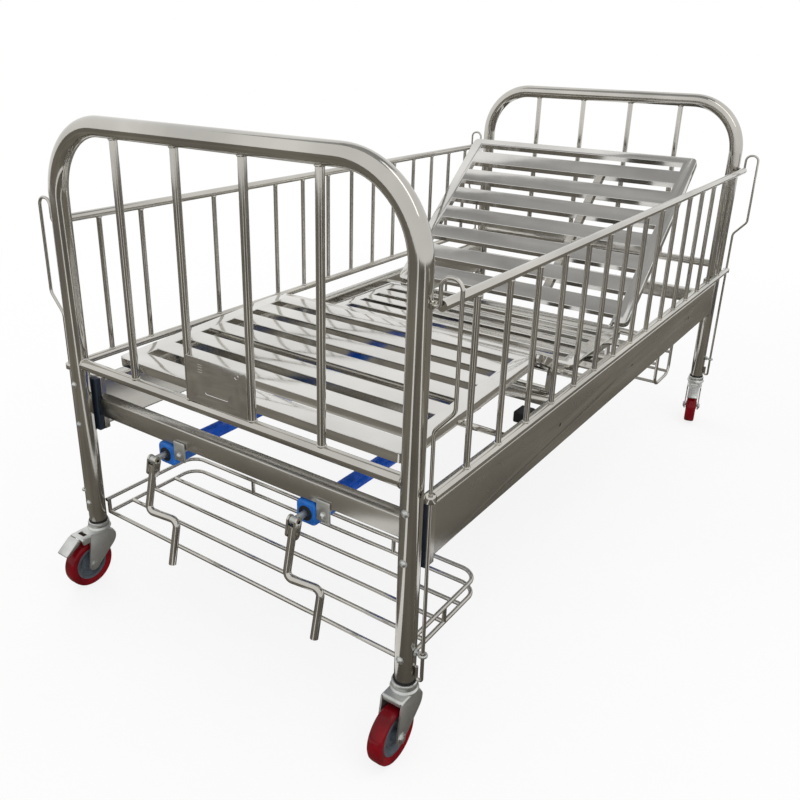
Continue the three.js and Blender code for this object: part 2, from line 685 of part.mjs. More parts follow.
// Two hanging plates that turn on a hinge tube, joined by the tube that the drive moves
function leverPieces(length, localLean) {
  const tubeY = length * Math.sin(degrees(localLean));
  const tubeZ = -length * Math.cos(degrees(localLean));
  const footZ = PANEL_BOTTOM + LEVER_FOOT_RADIUS;
  const tube = roundSection(LEVER_TUBE_RADIUS, TUBE_SIDES);
  const half = LEVER_THICKNESS / 2;
  const armShape = linkShape(0, 0, LEVER_EYE_RADIUS, tubeY, tubeZ, LEVER_EYE_RADIUS);
  const footShape = linkShape(0, 0, LEVER_FOOT_RADIUS, LEVER_FOOT, footZ, LEVER_FOOT_RADIUS);
  const plates = [-LEVER_X, LEVER_X].flatMap((x) => [
    acrossX(armShape, x - half, x + half, 2),
    acrossX(footShape, x - half, x + half, 2),
  ]);
  return [...plates, bar(vector(-LEVER_X, tubeY, tubeZ), vector(LEVER_X, tubeY, tubeZ), tube)];
}

function crossBore(half, radius) {
  return bar(vector(-half, 0, 0), vector(half, 0, 0), roundSection(around(radius, TUBE_SIDES), TUBE_SIDES));
}

function seatPanel() {
  const slots = slotRow(
    SEAT_FRONT_Y + SEAT_FIRST_SLOT + SEAT_SLOT_PITCH * (SEAT_SLOT_COUNT - 1),
    SEAT_SLOT_PITCH,
    SEAT_FRONT_Y + SEAT_FIRST_SLOT,
  );
  const pan = slattedPanel(SEAT_FRONT_Y, SEAT_REAR_Y, slots, SEAT_SLOT_WIDTH, PANEL_CORNER_RADIUS);
  const strap = (side, y) => {
    const inner = side * (PANEL_HALF - SHEET / 2);
    const outer = side * (BEAM_INNER_X - SEAT_GAP);
    return box(
      Math.min(inner, outer),
      Math.max(inner, outer),
      y - SEAT_STRAP_LENGTH / 2,
      y + SEAT_STRAP_LENGTH / 2,
      PANEL_BOTTOM,
      PANEL_BOTTOM + SEAT_STRAP_THICKNESS,
    );
  };
  const strapPlaces = [SEAT_FRONT_Y + SEAT_STRAP_INSET, SEAT_REAR_Y - SEAT_STRAP_INSET];
  const straps = strapPlaces.flatMap((y) => [strap(-1, y), strap(1, y)]);
  return join(pan, ...straps);
}

// The lowest slot is open toward the hinge, so the side strips reach the hinge plates as two horns
function backrestPanel() {
  const slots = slotRow(BACKREST_LENGTH - BACKREST_LAST_SLOT, SLOT_PITCH, PANEL_HINGE_GAP);
  const pan = slattedPanel(PANEL_HINGE_GAP, BACKREST_LENGTH, slots, SLOT_WIDTH, PANEL_CORNER_RADIUS);
  const stiffener = box(
    STIFFENER_X - STIFFENER_WIDTH / 2,
    STIFFENER_X + STIFFENER_WIDTH / 2,
    STIFFENER_INSET,
    BACKREST_LENGTH - STIFFENER_INSET,
    PANEL_BOTTOM - STIFFENER_DEPTH,
    PANEL_BOTTOM + SHEET,
  );
  const levers = leverPieces(BACK_LEVER_LENGTH, BACK_LEVER_LEAN - BACKREST_TILT);
  return cut(join(pan, stiffener, ...levers), crossBore(PANEL_HALF, HINGE_TUBE_DIAMETER / 2 + RUN_GAP));
}

function thighPanel() {
  const end = THIGH_LENGTH - PANEL_HINGE_GAP;
  const middle = THIGH_LENGTH / 2;
  const slots = [middle + THIGH_SLOT_PITCH / 2, middle - THIGH_SLOT_PITCH / 2];
  const pan = slattedPanel(PANEL_HINGE_GAP, end, slots, SLOT_WIDTH, PANEL_CORNER_RADIUS);
  const levers = leverPieces(KNEE_LEVER_LENGTH, KNEE_LEVER_LEAN - THIGH_TILT);
  const lugFootZ = HINGE_DROP - SHEET / 2 - LEVER_FOOT_RADIUS;
  const lugFootY = end - KNEE_LUG_FOOT;
  const lugShape = linkShape(THIGH_LENGTH, 0, KNEE_LUG_RADIUS, lugFootY, lugFootZ, LEVER_FOOT_RADIUS);
  const lugs = [-1, 1].map((side) => {
    const x = side * (PANEL_HALF - KNEE_LUG_INSET);
    return acrossX(lugShape, x - KNEE_LUG_THICKNESS / 2, x + KNEE_LUG_THICKNESS / 2, 2);
  });
  const rodHalf = PANEL_HALF - KNEE_LUG_INSET;
  const rod = roundSection(KNEE_ROD_DIAMETER / 2, TUBE_SIDES);
  const kneeRod = bar(vector(-rodHalf, THIGH_LENGTH, 0), vector(rodHalf, THIGH_LENGTH, 0), rod);
  const body = cut(join(pan, ...levers), crossBore(PANEL_HALF, HINGE_TUBE_DIAMETER / 2 + RUN_GAP));
  return join(body, ...lugs, kneeRod).rotateZ(Math.PI);
}

function calfPanel() {
  const slots = slotRow(CALF_LENGTH - CALF_LAST_SLOT, SLOT_PITCH, PANEL_HINGE_GAP + SLOT_WIDTH);
  const pan = slattedPanel(PANEL_HINGE_GAP, CALF_LENGTH, slots, SLOT_WIDTH, KNEE_CORNER_RADIUS);
  const eyeFootZ = HINGE_DROP - SHEET / 2 - LEVER_FOOT_RADIUS;
  const eyeFootY = PANEL_HINGE_GAP + KNEE_LUG_FOOT;
  const eyeShape = linkShape(0, 0, KNEE_LUG_RADIUS, eyeFootY, eyeFootZ, LEVER_FOOT_RADIUS);
  const eyes = [-1, 1].map((side) => {
    const x = side * (PANEL_HALF - KNEE_LUG_INSET - KNEE_LUG_THICKNESS - RUN_GAP);
    return acrossX(eyeShape, x - KNEE_LUG_THICKNESS / 2, x + KNEE_LUG_THICKNESS / 2, 2);
  });
  const bore = crossBore(PANEL_HALF, KNEE_ROD_DIAMETER / 2 + RUN_GAP);
  return cut(join(pan, ...eyes), bore).rotateZ(Math.PI);
}

// A bent bail whose ends turn in the side beams; drawn lying flat, toward the foot end
function calfArm() {
  const end = BEAM_INNER_X - SEAT_GAP;
  const armX = (PANEL_HALF + BEAM_INNER_X) / 2;
  const corners = [
    vector(-end, 0, 0),
    vector(-armX, 0, 0),
    vector(-armX, -CALF_ARM_LENGTH, 0),
    vector(armX, -CALF_ARM_LENGTH, 0),
    vector(armX, 0, 0),
    vector(end, 0, 0),
  ];
  return bentTube(corners, roundSection(CALF_BAR_DIAMETER / 2, WIRE_SIDES), CALF_BAR_BEND_RADIUS);
}

// Rails, balusters and, at the ends of the lower rail, the closed eyes that run on the guide rods
function guard(side) {
  const x = side * GUARD_X;
  const rail = roundSection(GUARD_RAIL_DIAMETER / 2, TUBE_SIDES);
  const baluster = roundSection(GUARD_BALUSTER_DIAMETER / 2, BALUSTER_SIDES);
  const eyeBore = ROD_RADIUS + RUN_GAP;
  const topStart = ROD_RADIUS + GUARD_END_GAP;
  const bottomStart = eyeBore + GUARD_EYE_WALL / 2;
  const railAt = (z, start) => bar(vector(x, start, z), vector(x, LEG_SPACING_Y - start, z), rail);
  const pieces = [railAt(GUARD_TOP_Z, topStart), railAt(GUARD_BOTTOM_Z, bottomStart)];
  for (let i = 1; i <= GUARD_BALUSTER_COUNT; i += 1) {
    const y = (LEG_SPACING_Y * i) / (GUARD_BALUSTER_COUNT + 1);
    pieces.push(bar(vector(x, y, GUARD_BOTTOM_Z), vector(x, y, GUARD_TOP_Z), baluster));
  }
  const eyeSection = roundSection(eyeBore + GUARD_EYE_WALL, TUBE_SIDES);
  const z0 = GUARD_BOTTOM_Z - GUARD_EYE_HEIGHT / 2;
  const z1 = GUARD_BOTTOM_Z + GUARD_EYE_HEIGHT / 2;
  const boreSection = roundSection(around(eyeBore, TUBE_SIDES), TUBE_SIDES);
  const reach = GUARD_RAIL_DIAMETER;
  const eyes = [0, LEG_SPACING_Y].map((y) => acrossZ(eyeSection, z0, z1).translate(x, y, 0));
  const boreAt = (y) => acrossZ(boreSection, z0 - reach, z1 + reach).translate(x, y, 0);
  const bores = [boreAt(0), boreAt(LEG_SPACING_Y)];
  return cut(join(...pieces, ...eyes), ...bores);
}

// One bent rod: stub from the leg, hook, outer run, jog, long inner run and a short returned tail
function guideRod(side, y) {
  const at = (x, z) => vector(side * x, y, z);
  const outerX = GUARD_X + HOOK_WIDTH;
  const tailX = LEG_X + LEG_RADIUS + ROD_RADIUS + RUN_GAP;
  const crownZ = GUARD_TOP_Z + HOOK_RISE;
  const jogZ = GUARD_TOP_Z - JOG_DROP;
  const footZ = LEG_FOOT_Z + ROD_FOOT_RISE;
  const legFaceX = LEG_X + LEG_RADIUS + SEAT_GAP;
  const corners = [
    at(legFaceX, GUARD_TOP_Z),
    at(GUARD_X, GUARD_TOP_Z),
    at(GUARD_X, crownZ),
    at(outerX, crownZ),
    at(outerX, jogZ),
    at(GUARD_X, jogZ - JOG_HEIGHT),
    at(GUARD_X, footZ),
    at(tailX, footZ),
    at(tailX, footZ + ROD_TAIL_LENGTH),
  ];
  const hookBend = (HOOK_WIDTH - ROD_RADIUS) / 2;
  const tailBend = (GUARD_X - tailX - RUN_GAP) / 2;
  const bends = [ROD_DIAMETER, hookBend, hookBend, JOG_BEND_RADIUS, JOG_BEND_RADIUS, tailBend, tailBend];
  const rod = bentTube(corners, roundSection(ROD_RADIUS, WIRE_SIDES), bends);
  const nutSection = roundSection(ROD_NUT_DIAMETER / 2, NUT_SIDES);
  const nut = bar(at(legFaceX, GUARD_TOP_Z), at(legFaceX + ROD_NUT_THICKNESS, GUARD_TOP_Z), nutSection);
  return join(rod, nut);
}

// Ring round the guide rod's lower run, screwed to the leg with a nut
function eyeBolt(side, y) {
  const z = LEG_FOOT_Z + EYE_BOLT_RISE;
  const bore = around(ROD_RADIUS + RUN_GAP, TUBE_SIDES);
  const ringSection = roundSection(bore + EYE_BOLT_WALL, TUBE_SIDES, bore);
  const ring = acrossZ(ringSection, -EYE_BOLT_HEIGHT / 2, EYE_BOLT_HEIGHT / 2);
  const legFaceX = LEG_X + LEG_RADIUS + SEAT_GAP;
  const nutEndX = GUARD_X - bore - EYE_BOLT_WALL / 2;
  const nutSection = roundSection(ROD_NUT_DIAMETER / 2, NUT_SIDES);
  const nut = bar(vector(side * legFaceX, y, z), vector(side * nutEndX, y, z), nutSection);
  return join(ring.translate(side * GUARD_X, y, z), nut);
}

function crankHousing() {
  const half = NOSE_RADIUS;
  const noseEndY = NOSE_FACE_Y + HOUSING_NOSE_LENGTH;
  const nose = acrossY(roundSection(half, LEG_SIDES), NOSE_FACE_Y, noseEndY);
  const bodyOutline = roundedRectangle(-half, -half, half, half, HOUSING_EDGE_RADIUS);
  const body = acrossY(bodyOutline, noseEndY - SHEET, HOUSING_END_Y, 2);
  const boreEndY = NOSE_FACE_Y + SHAFT_DEPTH + RUN_GAP;
  const boreSection = roundSection(around(SHAFT_DIAMETER / 2 + RUN_GAP, TUBE_SIDES), TUBE_SIDES);
  return cut(join(nose, body), acrossY(boreSection, NOSE_FACE_Y - SHEET, boreEndY));
}

// Angle beside the housing: one leg on the foot beam's face, one below the beam
function crankBracket() {
  const x0 = NOSE_RADIUS + SEAT_GAP;
  const x1 = x0 + CRANK_BRACKET_WIDTH;
  const faceY = END_BEAM_FACE_Y - SEAT_GAP;
  const underZ = END_BEAM_BOTTOM_Z - SEAT_GAP;
  const upright = box(
    x0,
    x1,
    faceY - CRANK_BRACKET_THICKNESS,
    faceY,
    END_BEAM_BOTTOM_Z - CRANK_BRACKET_DROP,
    END_BEAM_BOTTOM_Z + CRANK_BRACKET_RISE,
  );
  const foot = box(
    x0,
    x1,
    faceY - CRANK_BRACKET_THICKNESS / 2,
    END_BEAM_FACE_Y + END_BEAM_DEPTH,
    underZ - CRANK_BRACKET_THICKNESS,
    underZ,
  );
  return join(upright, foot);
}

function screwTube(yokeStartY) {
  const section = roundSection(SCREW_TUBE_RADIUS, TUBE_SIDES, PUSH_ROD_RADIUS + RUN_GAP);
  return acrossY(section, HOUSING_END_Y + SEAT_GAP, yokeStartY - PUSH_ROD_EXPOSED);
}

// Rod out of the screw tube with an open yoke round the lever tube
function pushRod(tubeY, tubeZ) {
  const gap = LEVER_TUBE_RADIUS + YOKE_PLAY;
  const outer = gap + YOKE_WALL;
  const top = tubeZ + YOKE_MARGIN - CRANK_Z;
  const bottom = Math.min(-PUSH_ROD_RADIUS, tubeZ - CRANK_Z - gap - YOKE_WALL);
  const yoke = new THREE.Shape();
  yoke.moveTo(tubeY - outer, bottom);
  yoke.lineTo(tubeY + outer, bottom);
  yoke.lineTo(tubeY + outer, top);
  yoke.lineTo(tubeY + gap, top);
  yoke.lineTo(tubeY + gap, bottom + YOKE_WALL);
  yoke.lineTo(tubeY - gap, bottom + YOKE_WALL);
  yoke.lineTo(tubeY - gap, top);
  yoke.lineTo(tubeY - outer, top);
  const startY = tubeY - outer - PUSH_ROD_EXPOSED - PUSH_ROD_INSIDE;
  const rod = acrossY(roundSection(PUSH_ROD_RADIUS, TUBE_SIDES), startY, tubeY - gap - YOKE_WALL / 2);
  return join(acrossX(yoke, -YOKE_WIDTH / 2, YOKE_WIDTH / 2), rod);
}

// Shaft with a cross-drilled barrel for the handle's pin
function crankShaft() {
  const rod = acrossY(roundSection(SHAFT_DIAMETER / 2, TUBE_SIDES), KNUCKLE_Y, NOSE_FACE_Y + SHAFT_DEPTH);
  const half = KNUCKLE_WIDTH / 2;
  const barrelSection = roundSection(KNUCKLE_DIAMETER / 2, TUBE_SIDES);
  const barrel = bar(vector(-half, KNUCKLE_Y, 0), vector(half, KNUCKLE_Y, 0), barrelSection);
  const bore = crossBore(KNUCKLE_WIDTH, KNUCKLE_PIN_DIAMETER / 2 + RUN_GAP).translate(0, KNUCKLE_Y, 0);
  return cut(join(rod, barrel), bore);
}

// Z-bent handle hanging from its pin; the arm runs down, the throw across, the grip down again
function crankHandle() {
  const cheekRadius = KNUCKLE_DIAMETER / 2 + CHEEK_MARGIN;
  const cheekInner = KNUCKLE_WIDTH / 2 + RUN_GAP;
  const cheekOuter = cheekInner + CHEEK_THICKNESS;
  const cheek = linkShape(0, 0, cheekRadius, 0, -CHEEK_LENGTH, cheekRadius - SHEET / 2);
  const bridgeTop = -KNUCKLE_DIAMETER / 2 - SHEET;
  const bridge = box(
    -cheekOuter + SHEET / 2,
    cheekOuter - SHEET / 2,
    -cheekRadius + SHEET,
    cheekRadius - SHEET,
    -CHEEK_LENGTH,
    bridgeTop,
  );
  const pinSection = roundSection(KNUCKLE_PIN_DIAMETER / 2, WIRE_SIDES);
  const pin = bar(vector(-cheekOuter, 0, 0), vector(cheekOuter, 0, 0), pinSection);
  const throwX = HANDLE_THROW * Math.cos(degrees(HANDLE_TWIST));
  const throwY = HANDLE_THROW * Math.sin(degrees(HANDLE_TWIST));
  const corners = [
    vector(0, 0, bridgeTop - SHEET),
    vector(0, 0, -HANDLE_ARM),
    vector(throwX, throwY, -HANDLE_ARM),
    vector(throwX, throwY, -HANDLE_ARM - HANDLE_GRIP),
  ];
  const arm = bentTube(corners, roundSection(HANDLE_DIAMETER / 2, TUBE_SIDES), HANDLE_BEND_RADIUS);
  return join(
    acrossX(cheek, cheekInner, cheekOuter, 2),
    acrossX(cheek, -cheekOuter, -cheekInner, 2),
    bridge,
    pin,
    arm,
  );
}

// Two U-shaped rims, a front rod, rods across the floor and short posts between the rims
function basket() {
  const rod = roundSection(BASKET_ROD_RADIUS, WIRE_SIDES);
  const sideX = LEG_X - BASKET_INSET;
  const lowZ = LEG_FOOT_Z + BASKET_RISE;
  const highZ = lowZ + BASKET_DEPTH;
  const frontY = LEG_RADIUS + SEAT_GAP + BASKET_ROD_RADIUS;
  const backY = frontY + BASKET_LENGTH;
  const legFaceY = Math.sqrt((LEG_RADIUS + SEAT_GAP) ** 2 - (BASKET_INSET - BASKET_ROD_RADIUS) ** 2);
  const rim = (startY, z) => bentTube([
    vector(-sideX, startY, z),
    vector(-sideX, backY, z),
    vector(sideX, backY, z),
    vector(sideX, startY, z),
  ], rod, BASKET_BEND_RADIUS);
  const acrossAt = (y) => bar(vector(-sideX, y, lowZ), vector(sideX, y, lowZ), rod);
  const post = (x, y) => bar(vector(x, y, lowZ), vector(x, y, highZ), rod);
  const pieces = [rim(frontY, lowZ), rim(legFaceY, highZ), acrossAt(frontY)];
  for (let i = 1; i <= BASKET_FLOOR_RODS; i += 1) {
    pieces.push(acrossAt(frontY + (BASKET_LENGTH * i) / (BASKET_FLOOR_RODS + 1)));
  }
  for (let i = 1; i <= BASKET_POSTS; i += 1) {
    pieces.push(post(((2 * i) / (BASKET_POSTS + 1) - 1) * sideX, backY));
  }
  [-1, 1].forEach((side) => {
    pieces.push(post(side * sideX, frontY));
    pieces.push(post(side * sideX, frontY + BASKET_LENGTH / 2));
  });
  return join(...pieces);
}

// Two U-shaped hangers against the side beams with rods across
function headRack() {
  const radius = RACK_ROD_DIAMETER / 2;
  const rod = roundSection(radius, WIRE_SIDES);
  const sideX = BEAM_INNER_X - SEAT_GAP - radius;
  const farY = LEG_SPACING_Y - RACK_HEAD_GAP;
  const nearY = farY - RACK_LENGTH;
  const topZ = SIDE_BEAM_BOTTOM_Z + RACK_GRIP;
  const lowZ = SIDE_BEAM_BOTTOM_Z - RACK_DROP;
  const hanger = (x) => bentTube([
    vector(x, nearY, topZ),
    vector(x, nearY, lowZ),
    vector(x, farY, lowZ),
    vector(x, farY, topZ),
  ], rod, RACK_BEND_RADIUS);
  const acrossAt = (y, z) => bar(vector(-sideX, y, z), vector(sideX, y, z), rod);
  const upperZ = SIDE_BEAM_BOTTOM_Z - RACK_UPPER_ROD_DROP;
  const bendInset = RACK_BEND_RADIUS * (1 - Math.SQRT1_2);
  return join(
    hanger(-sideX),
    hanger(sideX),
    acrossAt(nearY, upperZ),
    acrossAt(farY, upperZ),
    acrossAt(nearY + bendInset, lowZ + bendInset),
    acrossAt(farY - bendInset, lowZ + bendInset),
  );
}

// Casters are drawn with the swivel axis on Z and the wheel trailing toward -Y
function casterFork(plateEnd) {
  const headZ = FORK_TOP_Z - FORK_HEAD_RADIUS;
  const cheek = linkShape(0, headZ, FORK_HEAD_RADIUS, -CASTER_TRAIL, AXLE_Z, FORK_AXLE_RADIUS);
  const axleHalf = FORK_OUTER + AXLE_HEAD_THICKNESS;
  const axleSection = roundSection(AXLE_DIAMETER / 2, BORE_SIDES);
  const headSection = roundSection(AXLE_HEAD_DIAMETER / 2, NUT_SIDES);
  const raceSection = roundSection(RACE_DIAMETER / 2, TUBE_SIDES);
  const kingpinSection = roundSection(KINGPIN_DIAMETER / 2, BORE_SIDES);
  const axlePoint = (x) => vector(x, -CASTER_TRAIL, AXLE_Z);
  return join(
    acrossX(cheek, FORK_INNER, FORK_OUTER, 2),
    acrossX(cheek, -FORK_OUTER, -FORK_INNER, 2),
    box(-FORK_OUTER, FORK_OUTER, -plateEnd, FORK_HEAD_RADIUS / 2, FORK_TOP_Z - FORK_SHEET, FORK_TOP_Z),
    acrossZ(raceSection, FORK_TOP_Z - FORK_SHEET / 2, LEG_FOOT_Z - SEAT_GAP),
    acrossZ(kingpinSection, FORK_TOP_Z, LEG_FOOT_Z + KINGPIN_LENGTH),
    bar(axlePoint(-axleHalf), axlePoint(axleHalf), axleSection),
    bar(axlePoint(FORK_OUTER - SEAT_GAP), axlePoint(axleHalf), headSection),
    bar(axlePoint(-axleHalf), axlePoint(-FORK_OUTER + SEAT_GAP), headSection),
  );
}

function casterHub() {
  const bore = AXLE_DIAMETER / 2 + RUN_GAP;
  const boss = HUB_BOSS_DIAMETER / 2;
  const rim = TYRE_DIAMETER / 2 - TYRE_THICKNESS - SEAT_GAP;
  const web = HUB_WEB / 2;
  return turnedAboutX([
    [bore, -HUB_WIDTH / 2],
    [boss, -HUB_WIDTH / 2],
    [boss, -web],
    [rim - HUB_RIM_THICKNESS, -web],
    [rim, -HUB_RIM_WIDTH / 2],
    [rim, HUB_RIM_WIDTH / 2],
    [rim - HUB_RIM_THICKNESS, web],
    [boss, web],
    [boss, HUB_WIDTH / 2],
    [bore, HUB_WIDTH / 2],
  ], WHEEL_SIDES);
}

function casterTyre() {
  const outer = TYRE_DIAMETER / 2;
  const inner = outer - TYRE_THICKNESS;
  const shoulder = outer - TYRE_SHOULDER;
  return turnedAboutX([
    [inner, -HUB_RIM_WIDTH / 2],
    [shoulder, -TYRE_WIDTH / 2],
    [outer, -TYRE_WIDTH / 2 + TYRE_SHOULDER],
    [outer, TYRE_WIDTH / 2 - TYRE_SHOULDER],
    [shoulder, TYRE_WIDTH / 2],
    [inner, HUB_RIM_WIDTH / 2],
  ], WHEEL_SIDES);
}

// Tongue that tips down on the tyre; drawn about its own pivot
function brakePedal() {
  const tipY = -PEDAL_LENGTH * Math.cos(degrees(PEDAL_DROOP));
  const tipZ = -PEDAL_LENGTH * Math.sin(degrees(PEDAL_DROOP));
  const outline = linkShape(0, 0, PEDAL_SHEET, tipY, tipZ, PEDAL_SHEET / 2);
  return acrossX(outline, -PEDAL_WIDTH / 2, PEDAL_WIDTH / 2, 2);
}

// Assembly
const cot = new THREE.Group();

function place(parent, name, geometry, material, position = vector(0, 0, 0)) {
  const mesh = new THREE.Mesh(geometry, material);
  mesh.name = name;
  mesh.position.copy(position);
  parent.add(mesh);
}

function placeGroup(parent, position, turnX = 0, turnZ = 0) {
  const group = new THREE.Group();
  group.position.copy(position);
  group.rotation.set(degrees(turnX), 0, degrees(turnZ));
  parent.add(group);
  return group;
}

const SIDES = [['left', -1], ['right', 1]];
const ENDS = [['foot', 0], ['head', LEG_SPACING_Y]];

place(cot, 'footboard_frame', endBoard(), steel());
place(cot, 'headboard_frame', endBoard(), steel(), vector(0, LEG_SPACING_Y, 0));
place(cot, 'chart_plate', chartPlate(), sheetSteel());
place(cot, 'foot_beam', endBeam(), steel());
const headBeamShift = LEG_SPACING_Y - 2 * END_BEAM_FACE_Y - END_BEAM_DEPTH;
place(cot, 'head_beam', endBeam(), steel(), vector(0, headBeamShift, 0));
place(cot, 'hinge_tube_front', hingeTube(FRONT_HINGE_Y), steel());
place(cot, 'hinge_tube_rear', hingeTube(BACK_HINGE_Y), steel());
place(cot, 'cross_member_front', crossMember(FRONT_HINGE_Y - FRONT_MEMBER_GAP, [-1, 1]), steel());
place(cot, 'cross_member_middle', crossMember(FRONT_HINGE_Y + SEAT_HINGE_SPAN / 2, [-1]), steel());
place(cot, 'seat_panel', seatPanel(), sheetSteel(), vector(0, 0, HINGE_Z));
place(cot, 'basket', basket(), steel());
place(cot, 'head_rack', headRack(), steel());

SIDES.forEach(([sideName, side]) => {
  const beam = sideBeam();
  const stop = rubberStop();
  place(cot, `side_beam_${sideName}`, side > 0 ? beam : mirrored(beam), steel());
  place(cot, `rubber_stop_${sideName}`, side > 0 ? stop : mirrored(stop), blackRubber());
  place(cot, `guard_${sideName}`, guard(side), steel());
  ENDS.forEach(([endName, y]) => {
    const coverY = y === 0 ? COVER_START_Y : y - COVER_START_Y - CORNER_COVER_DEPTH;
    const coverPoint = vector(side * LEG_X, coverY, SIDE_BEAM_MIDDLE_Z);
    place(cot, `corner_cover_${endName}_${sideName}`, cornerCover(), darkPlastic(), coverPoint);
    place(cot, `guide_rod_${endName}_${sideName}`, guideRod(side, y), steel());
    place(cot, `eye_bolt_${endName}_${sideName}`, eyeBolt(side, y), steel());
  });
});

const backrest = placeGroup(cot, vector(0, BACK_HINGE_Y, HINGE_Z), BACKREST_TILT);
place(backrest, 'backrest_panel', backrestPanel(), sheetSteel());
const thigh = placeGroup(cot, vector(0, FRONT_HINGE_Y, HINGE_Z), -THIGH_TILT);
place(thigh, 'thigh_panel', thighPanel(), sheetSteel());
const calf = placeGroup(cot, vector(0, KNEE_Y, KNEE_Z), CALF_TILT);
place(calf, 'calf_panel', calfPanel(), sheetSteel());
const arm = placeGroup(cot, vector(0, CALF_PIVOT_Y, CALF_PIVOT_Z), -THIGH_TILT);
place(arm, 'calf_arm', calfArm(), steel());

// The left crank works the backrest, the right one the thigh and calf
const LEVER_POINTS = {
  left: [
    BACK_HINGE_Y + BACK_LEVER_LENGTH * Math.sin(degrees(BACK_LEVER_LEAN)),
    HINGE_Z - BACK_LEVER_LENGTH * Math.cos(degrees(BACK_LEVER_LEAN)),
  ],
  right: [
    FRONT_HINGE_Y - KNEE_LEVER_LENGTH * Math.sin(degrees(KNEE_LEVER_LEAN)),
    HINGE_Z - KNEE_LEVER_LENGTH * Math.cos(degrees(KNEE_LEVER_LEAN)),
  ],
};
SIDES.forEach(([sideName, side]) => {
  const drive = placeGroup(cot, vector(side * CRANK_X, 0, CRANK_Z));
  const [leverY, leverZ] = LEVER_POINTS[sideName];
  const yokeStartY = leverY - LEVER_TUBE_RADIUS - YOKE_PLAY - YOKE_WALL;
  place(drive, `crank_housing_${sideName}`, crankHousing(), bluePlastic());
  place(drive, `crank_bracket_${sideName}`, crankBracket(), zinc(), vector(0, 0, -CRANK_Z));
  place(drive, `screw_tube_${sideName}`, screwTube(yokeStartY), bluePaint());
  place(drive, `push_rod_${sideName}`, pushRod(leverY, leverZ), zinc());
  place(drive, `crank_shaft_${sideName}`, crankShaft(), zinc());
  const handle = placeGroup(drive, vector(0, KNUCKLE_Y, 0), -HANDLE_LEAN);
  place(handle, `crank_handle_${sideName}`, crankHandle(), steel());
});

ENDS.forEach(([endName, y]) => SIDES.forEach(([sideName, side]) => {
  const corner = `${endName}_${sideName}`;
  const braked = BRAKED_CORNERS.includes(corner);
  const swivel = corner === 'head_right' ? HEAD_RIGHT_SWIVEL : 0;
  const caster = placeGroup(cot, vector(side * LEG_X, y, 0), 0, swivel);
  const axle = vector(0, -CASTER_TRAIL, AXLE_Z);
  place(caster, `caster_fork_${corner}`, casterFork(braked ? BRAKE_PLATE_END : FORK_PLATE_END), zinc());
  place(caster, `caster_hub_${corner}`, casterHub(), greyPlastic(), axle);
  place(caster, `caster_tyre_${corner}`, casterTyre(), redTyre(), axle);
  if (braked) {
    const pivot = vector(0, -BRAKE_PLATE_END - SEAT_GAP - PEDAL_SHEET, FORK_TOP_Z - PEDAL_SHEET);
    place(caster, `brake_pedal_${corner}`, brakePedal(), zinc(), pivot);
  }
}));

// The origin lies on the floor below the middle of the cot's outline
cot.updateMatrixWorld(true);
const outlineMiddle = new THREE.Box3().setFromObject(cot, true).getCenter(vector(0, 0, 0));
cot.position.set(-outlineMiddle.x, -outlineMiddle.y, 0);

export default cot;
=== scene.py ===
"""Looks of a children's hospital cot: polished tube, folded sheet, cranks, wire goods and casters.

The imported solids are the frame. Tubes, wires, wheels and housings are modelled again with round sections, and
the folded and flat pieces are copies of the solids with rolled edges. Every piece keeps the frame's place.
"""

import json
import math

import bmesh
import bpy
from bpy.props import BoolProperty, FloatProperty, FloatVectorProperty, IntProperty, PointerProperty
from mathutils import Matrix, Vector


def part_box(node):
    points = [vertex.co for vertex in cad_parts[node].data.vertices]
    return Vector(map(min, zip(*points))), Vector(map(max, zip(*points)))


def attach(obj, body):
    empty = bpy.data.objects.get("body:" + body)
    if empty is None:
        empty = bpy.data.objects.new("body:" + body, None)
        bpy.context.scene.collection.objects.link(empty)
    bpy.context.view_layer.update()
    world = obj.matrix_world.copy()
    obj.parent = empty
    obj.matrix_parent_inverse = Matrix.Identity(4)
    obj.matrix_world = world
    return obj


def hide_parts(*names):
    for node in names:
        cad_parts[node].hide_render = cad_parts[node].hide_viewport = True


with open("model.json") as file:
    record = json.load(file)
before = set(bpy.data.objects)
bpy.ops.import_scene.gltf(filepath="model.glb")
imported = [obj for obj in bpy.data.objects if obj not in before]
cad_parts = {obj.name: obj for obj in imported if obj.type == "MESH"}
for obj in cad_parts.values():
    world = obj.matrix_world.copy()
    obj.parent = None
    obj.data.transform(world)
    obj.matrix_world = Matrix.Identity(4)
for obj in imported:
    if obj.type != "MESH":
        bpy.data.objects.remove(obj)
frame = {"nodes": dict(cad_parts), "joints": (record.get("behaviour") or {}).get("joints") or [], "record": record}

bl_info = {
    "name": "Hospital Cot",
    "version": (1, 0, 0),
    "blender": (4, 5, 0),
    "location": "View3D > Sidebar > Cot",
    "description": "Dresses the frame of a two-crank children's hospital cot",
    "category": "Add Mesh",
}

SIDES = {"left": -1, "right": 1}
CORNERS = ("foot_left", "foot_right", "head_left", "head_right")
BRAKED = ("foot_left", "head_right")
X_AXIS, Y_AXIS, Z_AXIS = Vector((1, 0, 0)), Vector((0, 1, 0)), Vector((0, 0, 1))

# Distances across from the cot's middle to the guide rods and to the legs' outer face, in metres
GUIDE_X = 0.416
LEG_FACE_X = 0.4028

# Slope of the platform's panels at rest, in degrees about X
PANEL_TILT = {"seat_panel": 0.0, "backrest_panel": 41.0, "thigh_panel": -28.0, "calf_panel": 2.4}

# Points closer than this are merged, in new pieces and in copies of the solids
MERGE, COPY_MERGE = 1e-6, 2e-6
# Straight runs shorter than this are left out of a bent tube
SHORTEST_RUN = 1e-7
# Faces within FLAT lie in one plane, and an edge sharper than FOLD is a fold, in radians
FLAT, FOLD = math.radians(0.5), 1.0

